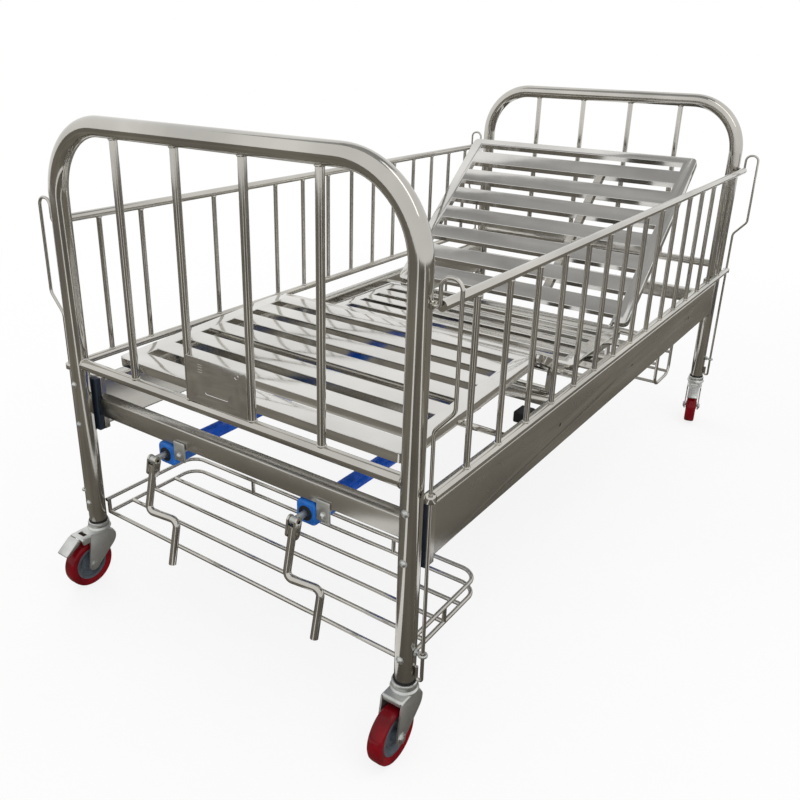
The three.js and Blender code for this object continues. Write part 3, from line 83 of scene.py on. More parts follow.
# Places read from the frame, in metres
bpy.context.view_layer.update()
JOINTS = {joint["name"]: joint for joint in frame["joints"]}


def pivot(joint):
    """A joint's point in the frame."""
    return Vector(JOINTS[joint]["pos_m"])


def middle(node):
    """Middle of a node's box."""
    low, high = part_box(node)
    return (low + high) / 2


def body_of(node):
    """The body of the frame that a node belongs to."""
    return next(body for body, nodes in frame["record"]["behaviour"]["bodies"].items() if node in nodes)


LEG_FOOT_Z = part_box("footboard_frame")[0].z
BOARD_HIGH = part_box("footboard_frame")[1]
BOARD_Y = {"foot": middle("footboard_frame").y, "head": middle("headboard_frame").y}


def from_foot(x, y, z):
    """A point in metres across from the middle, along from the foot legs and up from the floor."""
    return Vector((x, BOARD_Y["foot"] + y, z))


def length_prop(name, description, default):
    return FloatProperty(name=name, description=description, default=default, unit="LENGTH")


def power_prop(name, description, default):
    return FloatProperty(name=name, description=description, default=default, unit="POWER")


def colour_prop(name, description, default):
    return FloatVectorProperty(name=name, description=description, default=default, size=3, subtype="COLOR")


class CotSizes(bpy.types.PropertyGroup):
    """Sections and fine shapes of the round pieces."""

    leg: length_prop("Leg Tube", "Outer diameter of the boards' bent tube", 0.035)
    cross_tube: length_prop("Cross Tube", "Outer diameter of the boards' cross tubes", 0.022)
    board_bend: length_prop("Board Bend", "Bend radius of the boards' upper corners", 0.132)
    cross_drop: length_prop("Cross Tube Drop", "Cross tube's axis below the top tube's axis", 0.450)
    baluster: length_prop("Board Baluster", "Diameter of the boards' balusters", 0.014)
    baluster_pitch: length_prop("Baluster Pitch", "Distance between the boards' balusters", 0.145)
    guard_rail: length_prop("Guard Rail", "Diameter of the guards' rails", 0.016)
    guard_baluster: length_prop("Guard Baluster", "Diameter of the guards' balusters", 0.010)
    guard_height: length_prop("Guard Height", "Between the axes of a guard's two rails", 0.285)
    guard_bars: IntProperty(name="Guard Bars", description="Balusters in each guard", default=15, min=1)
    guide_rod: length_prop("Guide Rod", "Diameter of the guards' guide rods", 0.006)
    wire: length_prop("Wire", "Diameter of the basket's and the rack's rods", 0.008)
    hinge_tube: length_prop("Hinge Tube", "Diameter of the platform's hinge tubes", 0.016)
    bail: length_prop("Calf Arm", "Diameter of the calf arm's rod", 0.012)
    handle: length_prop("Crank Handle", "Diameter of the crank handles' rod", 0.014)
    wheel: length_prop("Wheel", "Diameter of the caster wheels", 0.100)
    fold: length_prop("Sheet Fold", "Bend radius along the edges of the folded sheet", 0.0016)
    sides: IntProperty(name="Sides", description="Faces round the boards' bent tube", default=40, min=8)


class CotFinishes(bpy.types.PropertyGroup):
    """Base colours of the finishes."""

    steel: colour_prop("Steel Tube", "Polished stainless tube", (0.52, 0.505, 0.465))
    sheet: colour_prop("Steel Sheet", "Polished stainless sheet", (0.66, 0.65, 0.62))
    zinc: colour_prop("Zinc", "Zinc-plated steel", (0.60, 0.61, 0.59))
    housing: colour_prop("Housing", "Blue moulded crank housings", (0.004, 0.120, 0.470))
    screw_tube: colour_prop("Screw Tube", "Blue painted screw tubes", (0.001, 0.092, 0.580))
    cover: colour_prop("Corner Cover", "Dark moulded corner covers", (0.014, 0.022, 0.036))
    rubber: colour_prop("Rubber", "Black rubber stops and rings", (0.010, 0.010, 0.011))
    hub: colour_prop("Wheel Hub", "Grey moulded wheel hubs", (0.070, 0.085, 0.100))
    tyre: colour_prop("Tyre", "Red tyres", (0.165, 0.003, 0.007))
    dust: colour_prop("Dust", "Dust on the tyres", (0.20, 0.14, 0.13))
    floor: colour_prop("Floor", "Pale studio floor", (0.86, 0.86, 0.86))


class CotLight(bpy.types.PropertyGroup):
    """Studio light and camera."""

    key: power_prop("Key", "Power of the large overhead lamp", 55.0)
    fill: power_prop("Fill", "Power of the side lamp", 22.0)
    strip: power_prop("Strip", "Power of the slim lamp that the tubes mirror", 8.0)
    sky: FloatProperty(name="Sky", description="Strength of the room's soft light", default=0.75)
    lens: FloatProperty(name="Lens", description="Camera's focal length", default=37.06, unit="CAMERA")
    cards: BoolProperty(name="Cards", description="Cards on the floor and overhead that the metal mirrors",
                        default=True)


# Materials
class NodeBench:
    """A material's node tree with short ways to add and join nodes."""

    SOCKETS = {"metallic": "Metallic", "roughness": "Roughness", "coat": "Coat Weight",
               "coat_roughness": "Coat Roughness", "specular": "Specular IOR Level",
               "glow": "Emission Strength"}
    # Sockets of a Mix node that share a name, by number
    MIX_FACTOR, MIX_NUMBERS, MIX_COLOURS, MIXED_NUMBER, MIXED_COLOUR = 0, (2, 3), (6, 7), 0, 2

    def __init__(self, name):
        self.material = bpy.data.materials.new(name)
        self.material.use_nodes = True
        self.tree = self.material.node_tree
        self.shader = self.tree.nodes["Principled BSDF"]

    def add(self, kind, **values):
        """A new node; values name its properties or its input sockets."""
        node = self.tree.nodes.new(kind)
        for key, value in values.items():
            if key in node.inputs:
                node.inputs[key].default_value = value
            else:
                setattr(node, key, value)
        return node

    def join(self, source, target):
        self.tree.links.new(source, target)

    def feed(self, socket, source):
        """Joins a pattern to one of the shader's sockets."""
        self.join(source, self.shader.inputs[socket])

    def fixed(self, **values):
        """Sets what is the same all over the surface."""
        for key, value in values.items():
            self.shader.inputs[self.SOCKETS[key]].default_value = value

    def place(self, stretch=(1, 1, 1)):
        """Object coordinates, stretched to give a pattern a direction."""
        coordinates = self.add("ShaderNodeTexCoord")
        mapping = self.add("ShaderNodeMapping", Scale=stretch)
        self.join(coordinates.outputs["Object"], mapping.inputs["Vector"])
        return mapping.outputs["Vector"]

    def noise(self, place, scale, detail=4.0, roughness=0.55):
        node = self.add("ShaderNodeTexNoise", Scale=scale, Detail=detail, Roughness=roughness)
        self.join(place, node.inputs["Vector"])
        return node.outputs["Fac"]

    def ramp(self, value, low, high, start=0.35, end=0.65):
        """Two-stop ramp between two greys or two colours."""
        node = self.add("ShaderNodeValToRGB")
        colours = [tuple(c) if hasattr(c, "__len__") else (c, c, c) for c in (low, high)]
        for stop, position, colour in zip(node.color_ramp.elements, (start, end), colours):
            stop.position = position
            stop.color = (*colour, 1.0)
        self.join(value, node.inputs["Fac"])
        return node.outputs["Color"]

    def bump(self, value, strength, distance):
        node = self.add("ShaderNodeBump", Strength=strength, Distance=distance)
        self.join(value, node.inputs["Height"])
        self.feed("Normal", node.outputs["Normal"])


def scaled(colour, factor):
    return tuple(min(1.0, channel * factor) for channel in colour)


def around(colour, spread):
    """A darker and a lighter shade of a colour."""
    return scaled(colour, 1 - spread), scaled(colour, 1 + spread)


def polished_metal(name, colour, grain, roughness, spread=0.12, wear=0.28, wave=0.0):
    """Polished stainless steel: lines along the grain, cloudy polish, faint marks; wave is for sheet."""
    bench = NodeBench(name)
    lines = bench.noise(bench.place(grain), scale=90.0, detail=2.0, roughness=0.5)
    clouds = bench.noise(bench.place(), scale=5.0, detail=3.0)
    marks = bench.noise(bench.place(), scale=38.0, detail=4.0, roughness=0.6)
    bench.feed("Base Color", bench.ramp(clouds, *around(colour, spread)))
    blend = bench.add("ShaderNodeMix", data_type="FLOAT")
    blend.inputs[bench.MIX_FACTOR].default_value = 0.45
    for source, socket in zip((lines, marks), bench.MIX_NUMBERS):
        bench.join(source, blend.inputs[socket])
    gloss = bench.ramp(blend.outputs[bench.MIXED_NUMBER], roughness * (1 - wear), roughness * (1 + wear))
    bench.feed("Roughness", gloss)
    if wave:
        bench.bump(bench.noise(bench.place(), scale=6.0, detail=1.0), strength=wave, distance=0.003)
    else:
        bench.bump(lines, strength=0.012, distance=0.0002)
    bench.fixed(metallic=1.0)
    return bench.material


def plated_zinc(name, colour):
    """Bright zinc plating with a slight spangle and duller patches."""
    bench = NodeBench(name)
    place = bench.place()
    spangle = bench.add("ShaderNodeTexVoronoi", Scale=260.0)
    bench.join(place, spangle.inputs["Vector"])
    patches = bench.noise(place, scale=24.0, detail=5.0)
    bench.feed("Base Color", bench.ramp(patches, low=scaled(colour, 0.82), high=scaled(colour, 1.12)))
    bench.feed("Roughness", bench.ramp(patches, low=0.50, high=0.36))
    bench.bump(spangle.outputs["Distance"], strength=0.06, distance=0.0003)
    bench.fixed(metallic=1.0)
    return bench.material


def moulded(name, colour, roughness, coat=0.0, texture=420.0):
    """Moulded plastic, paint or rubber with a fine skin and rubbed patches; texture is the skin's scale."""
    bench = NodeBench(name)
    place = bench.place()
    skin = bench.noise(place, texture, detail=3.0)
    rubbed = bench.noise(place, scale=30.0, detail=5.0, roughness=0.65)
    bench.feed("Base Color", bench.ramp(rubbed, *around(colour, 0.25)))
    bench.feed("Roughness", bench.ramp(rubbed, low=roughness * 0.8, high=roughness * 1.2))
    bench.bump(skin, strength=0.12, distance=0.00015)
    bench.fixed(coat=coat, coat_roughness=0.12, specular=0.35)
    return bench.material


def cast_tyre(name, colour, dust_colour):
    """Cast tyre: glossy, with slow changes of tone and a little dust."""
    bench = NodeBench(name)
    place = bench.place()
    flow = bench.noise(place, scale=22.0, detail=4.0)
    dust = bench.noise(place, scale=120.0, detail=8.0, roughness=0.7)
    dusty = bench.add("ShaderNodeMix", data_type="RGBA", blend_type="MIX")
    clean_socket, dust_socket = bench.MIX_COLOURS
    bench.join(bench.ramp(dust, low=0.0, high=0.03, start=0.55, end=0.75), dusty.inputs[bench.MIX_FACTOR])
    bench.join(bench.ramp(flow, *around(colour, 0.3)), dusty.inputs[clean_socket])
    dusty.inputs[dust_socket].default_value = (*dust_colour, 1.0)
    bench.feed("Base Color", dusty.outputs[bench.MIXED_COLOUR])
    bench.feed("Roughness", bench.ramp(dust, low=0.10, high=0.24))
    bench.bump(flow, strength=0.08, distance=0.0004)
    bench.fixed(coat=0.12, coat_roughness=0.05, specular=0.12)
    return bench.material


FINISH = {}


def mix_finishes():
    """One material for each finish; tubes and beams have one for each direction of their grain."""
    colours = bpy.context.scene.cot_finishes
    grains = {"x": (0.05, 1, 1), "y": (1, 0.05, 1), "z": (1, 1, 0.05)}
    for axis, grain in grains.items():
        FINISH["steel_" + axis] = polished_metal("polished_tube_" + axis, colours.steel, grain,
                                                 roughness=0.11)
    for axis in ("x", "y"):
        FINISH["beam_" + axis] = polished_metal("brushed_beam_" + axis, colours.steel, grains[axis],
                                                roughness=0.25, spread=0.05, wear=0.10)
    FINISH["sheet"] = polished_metal("polished_sheet", colours.sheet, grains["x"], roughness=0.10,
                                     spread=0.08, wave=0.5)
    FINISH["zinc"] = plated_zinc("zinc_plating", colours.zinc)
    FINISH["housing"] = moulded("blue_housing", colours.housing, roughness=0.32, coat=0.12)
    FINISH["screw_tube"] = moulded("blue_paint", colours.screw_tube, roughness=0.28, coat=0.12, texture=160.0)
    FINISH["cover"] = moulded("dark_cover", colours.cover, roughness=0.45)
    FINISH["rubber"] = moulded("black_rubber", colours.rubber, roughness=0.65, texture=300.0)
    FINISH["hub"] = moulded("grey_hub", colours.hub, roughness=0.38, coat=0.1)
    FINISH["tyre"] = cast_tyre("red_tyre", colours.tyre, colours.dust)


# Modelling
def edges_of(geometry):
    return [item for item in geometry if isinstance(item, bmesh.types.BMEdge)]


def verts_of(geometry):
    return [item for item in geometry if isinstance(item, bmesh.types.BMVert)]


def unique(items):
    """Items without repeats, in their order, so that each run gives the same mesh."""
    return list(dict.fromkeys(items))


def sharp_edges(bm, limit):
    """Edges at which two faces meet at more than an angle, in radians."""
    return [edge for edge in bm.edges if len(edge.link_faces) == 2 and edge.calc_face_angle(0.0) > limit]


def round_edges(bm, edges, width, segments, clamp_overlap=False):
    """Bevels edges to a round."""
    bmesh.ops.bevel(bm, geom=edges, offset=width, segments=segments, profile=0.5, affect="EDGES", material=-1,
                    clamp_overlap=clamp_overlap)


def soften(bm, width, segments=2, angle=35.0, wanted=None):
    """Rounds the edges that are sharper than an angle in degrees: all of them, or the wanted ones."""
    sharp = sharp_edges(bm, math.radians(angle))
    if wanted is not None:
        sharp = [edge for edge in sharp if wanted(edge)]
    round_edges(bm, sharp, width, segments, clamp_overlap=True)


def ring_at(bm, point, direction, radius, sides):
    """Edges of an open ring square to a direction."""
    turn = direction.to_track_quat("Z", "Y").to_matrix().to_4x4()
    made = bmesh.ops.create_circle(bm, cap_ends=False, radius=radius, segments=sides,
                                   matrix=Matrix.Translation(point) @ turn)
    return unique(edge for vert in made["verts"] for edge in vert.link_edges)


def run_straight(bm, ring, step):
    """Pulls a ring straight along and gives the new ring."""
    made = bmesh.ops.extrude_edge_only(bm, edges=ring)["geom"]
    ends = verts_of(made)
    bmesh.ops.translate(bm, verts=ends, vec=step)
    end_set = set(ends)
    return [edge for edge in edges_of(made) if edge.verts[0] in end_set and edge.verts[1] in end_set]


def run_bend(bm, ring, centre, axis, angle, steps):
    """Swings a ring round a bend and gives the new ring."""
    geometry = ring + unique(vert for edge in ring for vert in edge.verts)
    made = bmesh.ops.spin(bm, geom=geometry, cent=centre, axis=axis, angle=angle, steps=steps,
                          use_merge=False)
    return edges_of(made["geom_last"])


def bent_tube(bm, corners, diameter, bend=0.0, sides=24, steps=10):
    """A tube of straight runs and round bends through the corners; bend is one radius or one for each."""
    corners = [Vector(corner) for corner in corners]
    inner = len(corners) - 2
    bends = list(bend) if hasattr(bend, "__len__") else [bend] * inner
    at = corners[0]
    first = ring_at(bm, at, (corners[1] - at).normalized(), diameter / 2, sides)
    ring = first
    for i in range(1, len(corners)):
        way = (corners[i] - corners[i - 1]).normalized()
        if i > inner:
            ring = run_straight(bm, ring, corners[i] - at)
            continue
        turn_to = (corners[i + 1] - corners[i]).normalized()
        angle = way.angle(turn_to)
        reach = bends[i - 1] * math.tan(angle / 2)
        start = corners[i] - way * reach
        if (start - at).dot(way) > SHORTEST_RUN:
            ring = run_straight(bm, ring, start - at)
        axis = way.cross(turn_to).normalized()
        centre = start + axis.cross(way) * bends[i - 1]
        ring = run_bend(bm, ring, centre, axis, angle, steps)
        at = corners[i] + turn_to * reach
    for end in (first, ring):
        bmesh.ops.edgeloop_fill(bm, edges=end)


def straight_bar(bm, start, end, diameter, sides=24):
    bent_tube(bm, (start, end), diameter, sides=sides)


def block(bm, low, high):
    """A box between two corners."""
    low, high = Vector(low), Vector(high)
    size = high - low
    place = Matrix.Translation((low + high) / 2) @ Matrix.Diagonal((*size, 1.0))
    return bmesh.ops.create_cube(bm, size=1.0, matrix=place)["verts"]


def link_plate(bm, ends, low_x, high_x, sides=36):
    """A plate across X with round ends, given as ((y, z), radius)."""
    rims = []
    for (y, z), radius in ends:
        for x in (low_x, high_x):
            place = Matrix.Translation((x, y, z)) @ Matrix.Rotation(math.pi / 2, 4, "Y")
            rim = bmesh.ops.create_circle(bm, cap_ends=False, radius=radius, segments=sides, matrix=place)
            rims += rim["verts"]
    hull = bmesh.ops.convex_hull(bm, input=rims, use_existing_faces=False)
    spare = unique(verts_of(hull["geom_interior"]) + verts_of(hull["geom_unused"]))
    bmesh.ops.delete(bm, geom=spare, context="VERTS")
    loose = [edge for edge in bm.edges if not edge.link_faces]
    bmesh.ops.delete(bm, geom=loose, context="EDGES")


def formed_channel(bm, outline, half, sheet, bend, window=0.0):
    """Sheet folded down on both sides of a round-cornered outline, given as ((y, z), radius); open below."""
    shell = bmesh.new()
    link_plate(shell, outline, -half, half)
    bmesh.ops.dissolve_limit(shell, angle_limit=FLAT, verts=shell.verts, edges=shell.edges)
    bmesh.ops.recalc_face_normals(shell, faces=shell.faces)
    # What faces neither sideways nor up is left open
    under = [face for face in shell.faces if abs(face.normal.x) < 0.5 and face.normal.z < 0.3]
    bmesh.ops.delete(shell, geom=under, context="FACES")
    round_edges(shell, sharp_edges(shell, FOLD), bend, segments=4)
    if window:
        plate = max((face for face in shell.faces if face.normal.z > 0.99), key=lambda face: face.calc_area())
        bmesh.ops.inset_region(shell, faces=[plate], thickness=window, use_even_offset=True)
        bmesh.ops.delete(shell, geom=[plate], context="FACES")
    bmesh.ops.solidify(shell, geom=shell.faces, thickness=sheet)
    bmesh.ops.recalc_face_normals(shell, faces=shell.faces)
    mesh = mesh_of("channel", shell)
    bm.from_mesh(mesh)
    bpy.data.meshes.remove(mesh)


def turned(bm, profile, centre, axis, across, steps):
    """A profile of (radius, offset) points spun round an axis; the profile closes on itself."""
    verts = [bm.verts.new(centre + across * radius + axis * offset) for radius, offset in profile]
    edges = [bm.edges.new((verts[i - 1], verts[i])) for i in range(len(verts))]
    bmesh.ops.spin(bm, geom=verts + edges, cent=centre, axis=axis, angle=2 * math.pi, steps=steps,
                   use_merge=True)


def weld_bead(bm, point, direction, radius, size=0.0016):
    """A small ring of weld round a bar."""
    turns = [math.pi * i / 4 for i in range(8)]
    profile = [(radius + size * math.cos(turn), size * math.sin(turn)) for turn in turns]
    turned(bm, profile, point, direction, direction.orthogonal().normalized(), steps=24)


def welded_bar(bm, start, end, diameter, inset):
    """A bar between two tubes with a weld bead at each end; inset is the tubes' radius."""
    start, end = Vector(start), Vector(end)
    way = (end - start).normalized()
    straight_bar(bm, start, end, diameter)
    for point, step in ((start, way), (end, -way)):
        weld_bead(bm, point + step * inset, way, diameter / 2)


def hex_nut(bm, start, end, across_corners):
    """A six-sided nut between two points."""
    start, end = Vector(start), Vector(end)
    way = end - start
    place = Matrix.Translation((start + end) / 2) @ way.to_track_quat("Z", "Y").to_matrix().to_4x4()
    radius = across_corners / 2
    bmesh.ops.create_cone(bm, cap_ends=True, segments=6, radius1=radius, radius2=radius, depth=way.length,
                          matrix=place)


def dome_bolt(bm, point, outward, radius=0.0054):
    """A washer and a domed bolt head on a surface."""
    head = [(0.0, -0.001), (radius * 1.25, -0.001), (radius * 1.25, 0.0008), (radius, 0.0010),
            (radius * 0.92, 0.0024), (radius * 0.66, 0.0038), (radius * 0.3, 0.0046), (0.0, 0.0048)]
    turned(bm, head, point, outward, outward.orthogonal().normalized(), steps=24)


def mesh_of(name, bm):
    """A mesh of a bmesh, which is freed."""
    mesh = bpy.data.meshes.new(name)
    bm.to_mesh(mesh)
    bm.free()
    return mesh


def new_object(name, data):
    """An object at the origin, in the scene."""
    made = bpy.data.objects.new(name, data)
    bpy.context.scene.collection.objects.link(made)
    return made


def finish_piece(name, bm, body, finish, replaced=(), angle=40.0, merge=True):
    """Turns a bmesh into a named piece that rides on a body of the frame."""
    if merge:
        bmesh.ops.remove_doubles(bm, verts=bm.verts, dist=MERGE)
    bmesh.ops.recalc_face_normals(bm, faces=bm.faces)
    for face in bm.faces:
        face.smooth = True
    mesh = mesh_of(name, bm)
    mesh.set_sharp_from_angle(angle=math.radians(angle))
    mesh.materials.append(FINISH[finish])
    piece = new_object(name, mesh)
    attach(piece, body)
    if replaced:
        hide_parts(*replaced)


def merged_copy(node):
    """A copy of a solid's mesh with its loose triangles joined into whole faces."""
    bm = bmesh.new()
    bm.from_mesh(frame["nodes"][node].data)
    bmesh.ops.remove_doubles(bm, verts=bm.verts, dist=COPY_MERGE)
    bmesh.ops.dissolve_limit(bm, angle_limit=FLAT, verts=bm.verts, edges=bm.edges)
    return bm


def rounded_copy(node, finish, width, segments=2):
    """A piece that is a solid with its edges rounded, in the solid's place."""
    bm = merged_copy(node)
    soften(bm, width, segments)
    finish_piece(node + "_skin", bm, body_of(node), finish, (node,), merge=False)


# Pieces
class COT_OT_end_boards(bpy.types.Operator):
    """Bent tubes, cross tubes and balusters of the foot and head boards, and the chart plate"""

    bl_idname = "cot.end_boards"
    bl_label = "End Boards"

    def execute(self, context):
        sizes = context.scene.cot_sizes
        leg_radius = sizes.leg / 2
        x, top = BOARD_HIGH.x - leg_radius, BOARD_HIGH.z - leg_radius
        low = top - sizes.cross_drop
        for end, y in BOARD_Y.items():
            bm = bmesh.new()
            corners = [(-x, y, LEG_FOOT_Z), (-x, y, top), (x, y, top), (x, y, LEG_FOOT_Z)]
            bent_tube(bm, corners, sizes.leg, sizes.board_bend, sides=sizes.sides, steps=20)
            welded_bar(bm, (-x, y, low), (x, y, low), sizes.cross_tube, leg_radius)
            for pitches in (-1.5, -0.5, 0.5, 1.5):
                bar_x = pitches * sizes.baluster_pitch
                straight_bar(bm, (bar_x, y, low), (bar_x, y, top), sizes.baluster)
                for z in (low + sizes.cross_tube / 2, top - leg_radius):
                    weld_bead(bm, Vector((bar_x, y, z)), Z_AXIS, sizes.baluster / 2)
            finish_piece(end + "_board", bm, "base", "steel_z", (end + "board_frame",))
        rounded_copy("chart_plate", "sheet", width=0.0005)
        return {"FINISHED"}


class COT_OT_base_frame(bpy.types.Operator):
    """Side beams, end beams, corner covers, cross members, hinge tubes and rubber stops"""

    bl_idname = "cot.base_frame"
    bl_label = "Base Frame"

    def execute(self, context):
        beam_edge, stop_edge, cover_edge = 0.0008, 0.003, 0.001
        for side in SIDES:
            rounded_copy("side_beam_" + side, "beam_y", beam_edge)
            rounded_copy("rubber_stop_" + side, "rubber", stop_edge, segments=3)
        for end in BOARD_Y:
            rounded_copy(end + "_beam", "beam_x", beam_edge)
        for corner in CORNERS:
            rounded_copy("corner_cover_" + corner, "cover", cover_edge)
        for member in ("cross_member_front", "cross_member_middle"):
            rounded_copy(member, "steel_x", beam_edge)
        for name in ("hinge_tube_front", "hinge_tube_rear"):
            low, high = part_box(name)
            place = middle(name)
            ends = [(x, place.y, place.z) for x in (low.x, high.x)]
            bm = bmesh.new()
            straight_bar(bm, *ends, context.scene.cot_sizes.hinge_tube)
            finish_piece(name + "_round", bm, "base", "steel_x", (name,))
        return {"FINISHED"}


class COT_OT_platform(bpy.types.Operator):
    """Seat, backrest, thigh and calf panels with rolled upper edges"""

    bl_idname = "cot.platform"
    bl_label = "Platform"

    def execute(self, context):
        fold = context.scene.cot_sizes.fold
        top_layer = 0.0003
        for node, tilt in PANEL_TILT.items():
            normal = Matrix.Rotation(math.radians(tilt), 3, "X") @ Z_AXIS
            bm = merged_copy(node)
            top = max(vert.co.dot(normal) for vert in bm.verts) - top_layer
            soften(bm, fold, segments=3, wanted=lambda edge: edge.is_convex
                   and all(vert.co.dot(normal) > top for vert in edge.verts))
            finish_piece(node + "_rolled", bm, body_of(node), "sheet", (node,), merge=False)
        return {"FINISHED"}


class COT_OT_guards(bpy.types.Operator):
    """Rails, balusters and end eyes of the two side guards"""

    bl_idname = "cot.guards"
    bl_label = "Side Guards"

    def execute(self, context):
        sizes = context.scene.cot_sizes
        foot, head = BOARD_Y["foot"], BOARD_Y["head"]
        step = (head - foot) / (sizes.guard_bars + 1)
        top_inset, bottom_inset = 0.0045, 0.006
        # The solid's rail has eight sides, with one of them on top
        rail_rise = sizes.guard_rail / 2 * math.cos(math.pi / 8)
        eye = [(0.0034, -0.0055), (0.0076, -0.006), (0.0084, -0.005), (0.0084, 0.005), (0.0076, 0.006),
               (0.0034, 0.0055)]
        for side, sign in SIDES.items():
            node = "guard_" + side
            x = sign * GUIDE_X
            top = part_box(node)[1].z - rail_rise
            bottom = top - sizes.guard_height
            bm = bmesh.new()
            for z, inset in ((top, top_inset), (bottom, bottom_inset)):
                straight_bar(bm, (x, foot + inset, z), (x, head - inset, z), sizes.guard_rail)
            for i in range(1, sizes.guard_bars + 1):
                y = foot + step * i
                welded_bar(bm, (x, y, bottom), (x, y, top), sizes.guard_baluster, sizes.guard_rail / 2)
            for y in (foot, head):
                turned(bm, eye, Vector((x, y, bottom)), Z_AXIS, X_AXIS, steps=32)
            finish_piece(node + "_round", bm, node, "steel_y", (node,))
        return {"FINISHED"}


class COT_OT_guide_rods(bpy.types.Operator):
    """Hooked guide rods and their eye bolts"""

    bl_idname = "cot.guide_rods"
    bl_label = "Guide Rods"

    HOOK_Z, EYE_Z = 0.758, 0.196
    NUT_DEPTH, NUT_CORNERS = 0.004, 0.012

    def execute(self, context):
        for end, y in BOARD_Y.items():
            for side, sign in SIDES.items():
                corner = end + "_" + side
                self.rod(corner, sign, y, context.scene.cot_sizes.guide_rod)
                self.eye_bolt(corner, sign, y)
        return {"FINISHED"}

    def rod(self, corner, sign, y, diameter):
        arch_z, outer_x, jog_high, jog_low = 0.799, 0.448, 0.617, 0.580
        end_z, tip_x, tip_z = 0.145, 0.4059, 0.169
        outline = ((LEG_FACE_X, self.HOOK_Z), (GUIDE_X, self.HOOK_Z), (GUIDE_X, arch_z), (outer_x, arch_z),
                   (outer_x, jog_high), (GUIDE_X, jog_low), (GUIDE_X, end_z), (tip_x, end_z), (tip_x, tip_z))
        bends = (0.006, 0.0145, 0.0145, 0.018, 0.018, 0.00485, 0.00485)
        bm = bmesh.new()
        bent_tube(bm, [(sign * x, y, z) for x, z in outline], diameter, bends, sides=16, steps=8)
        self.leg_nut(bm, sign, y, self.HOOK_Z)
        finish_piece("guide_rod_round_" + corner, bm, "base", "steel_z", ("guide_rod_" + corner,))

    def eye_bolt(self, corner, sign, y):
        shank_end, shank = 0.4095, 0.006
        eye = [(0.0037, -0.0016), (0.0060, -0.0025), (0.0078, -0.0016), (0.0082, 0.0), (0.0078, 0.0016),
               (0.0060, 0.0025), (0.0037, 0.0016)]
        bm = bmesh.new()
        turned(bm, eye, Vector((sign * GUIDE_X, y, self.EYE_Z)), Z_AXIS, X_AXIS, steps=32)
        self.leg_nut(bm, sign, y, self.EYE_Z)
        shank_ends = [(sign * x, y, self.EYE_Z) for x in (LEG_FACE_X, shank_end)]
        straight_bar(bm, *shank_ends, shank, sides=16)
        finish_piece("eye_bolt_round_" + corner, bm, "base", "zinc", ("eye_bolt_" + corner,))

    def leg_nut(self, bm, sign, y, z):
        outer_x = LEG_FACE_X + self.NUT_DEPTH
        hex_nut(bm, (sign * LEG_FACE_X, y, z), (sign * outer_x, y, z), self.NUT_CORNERS)


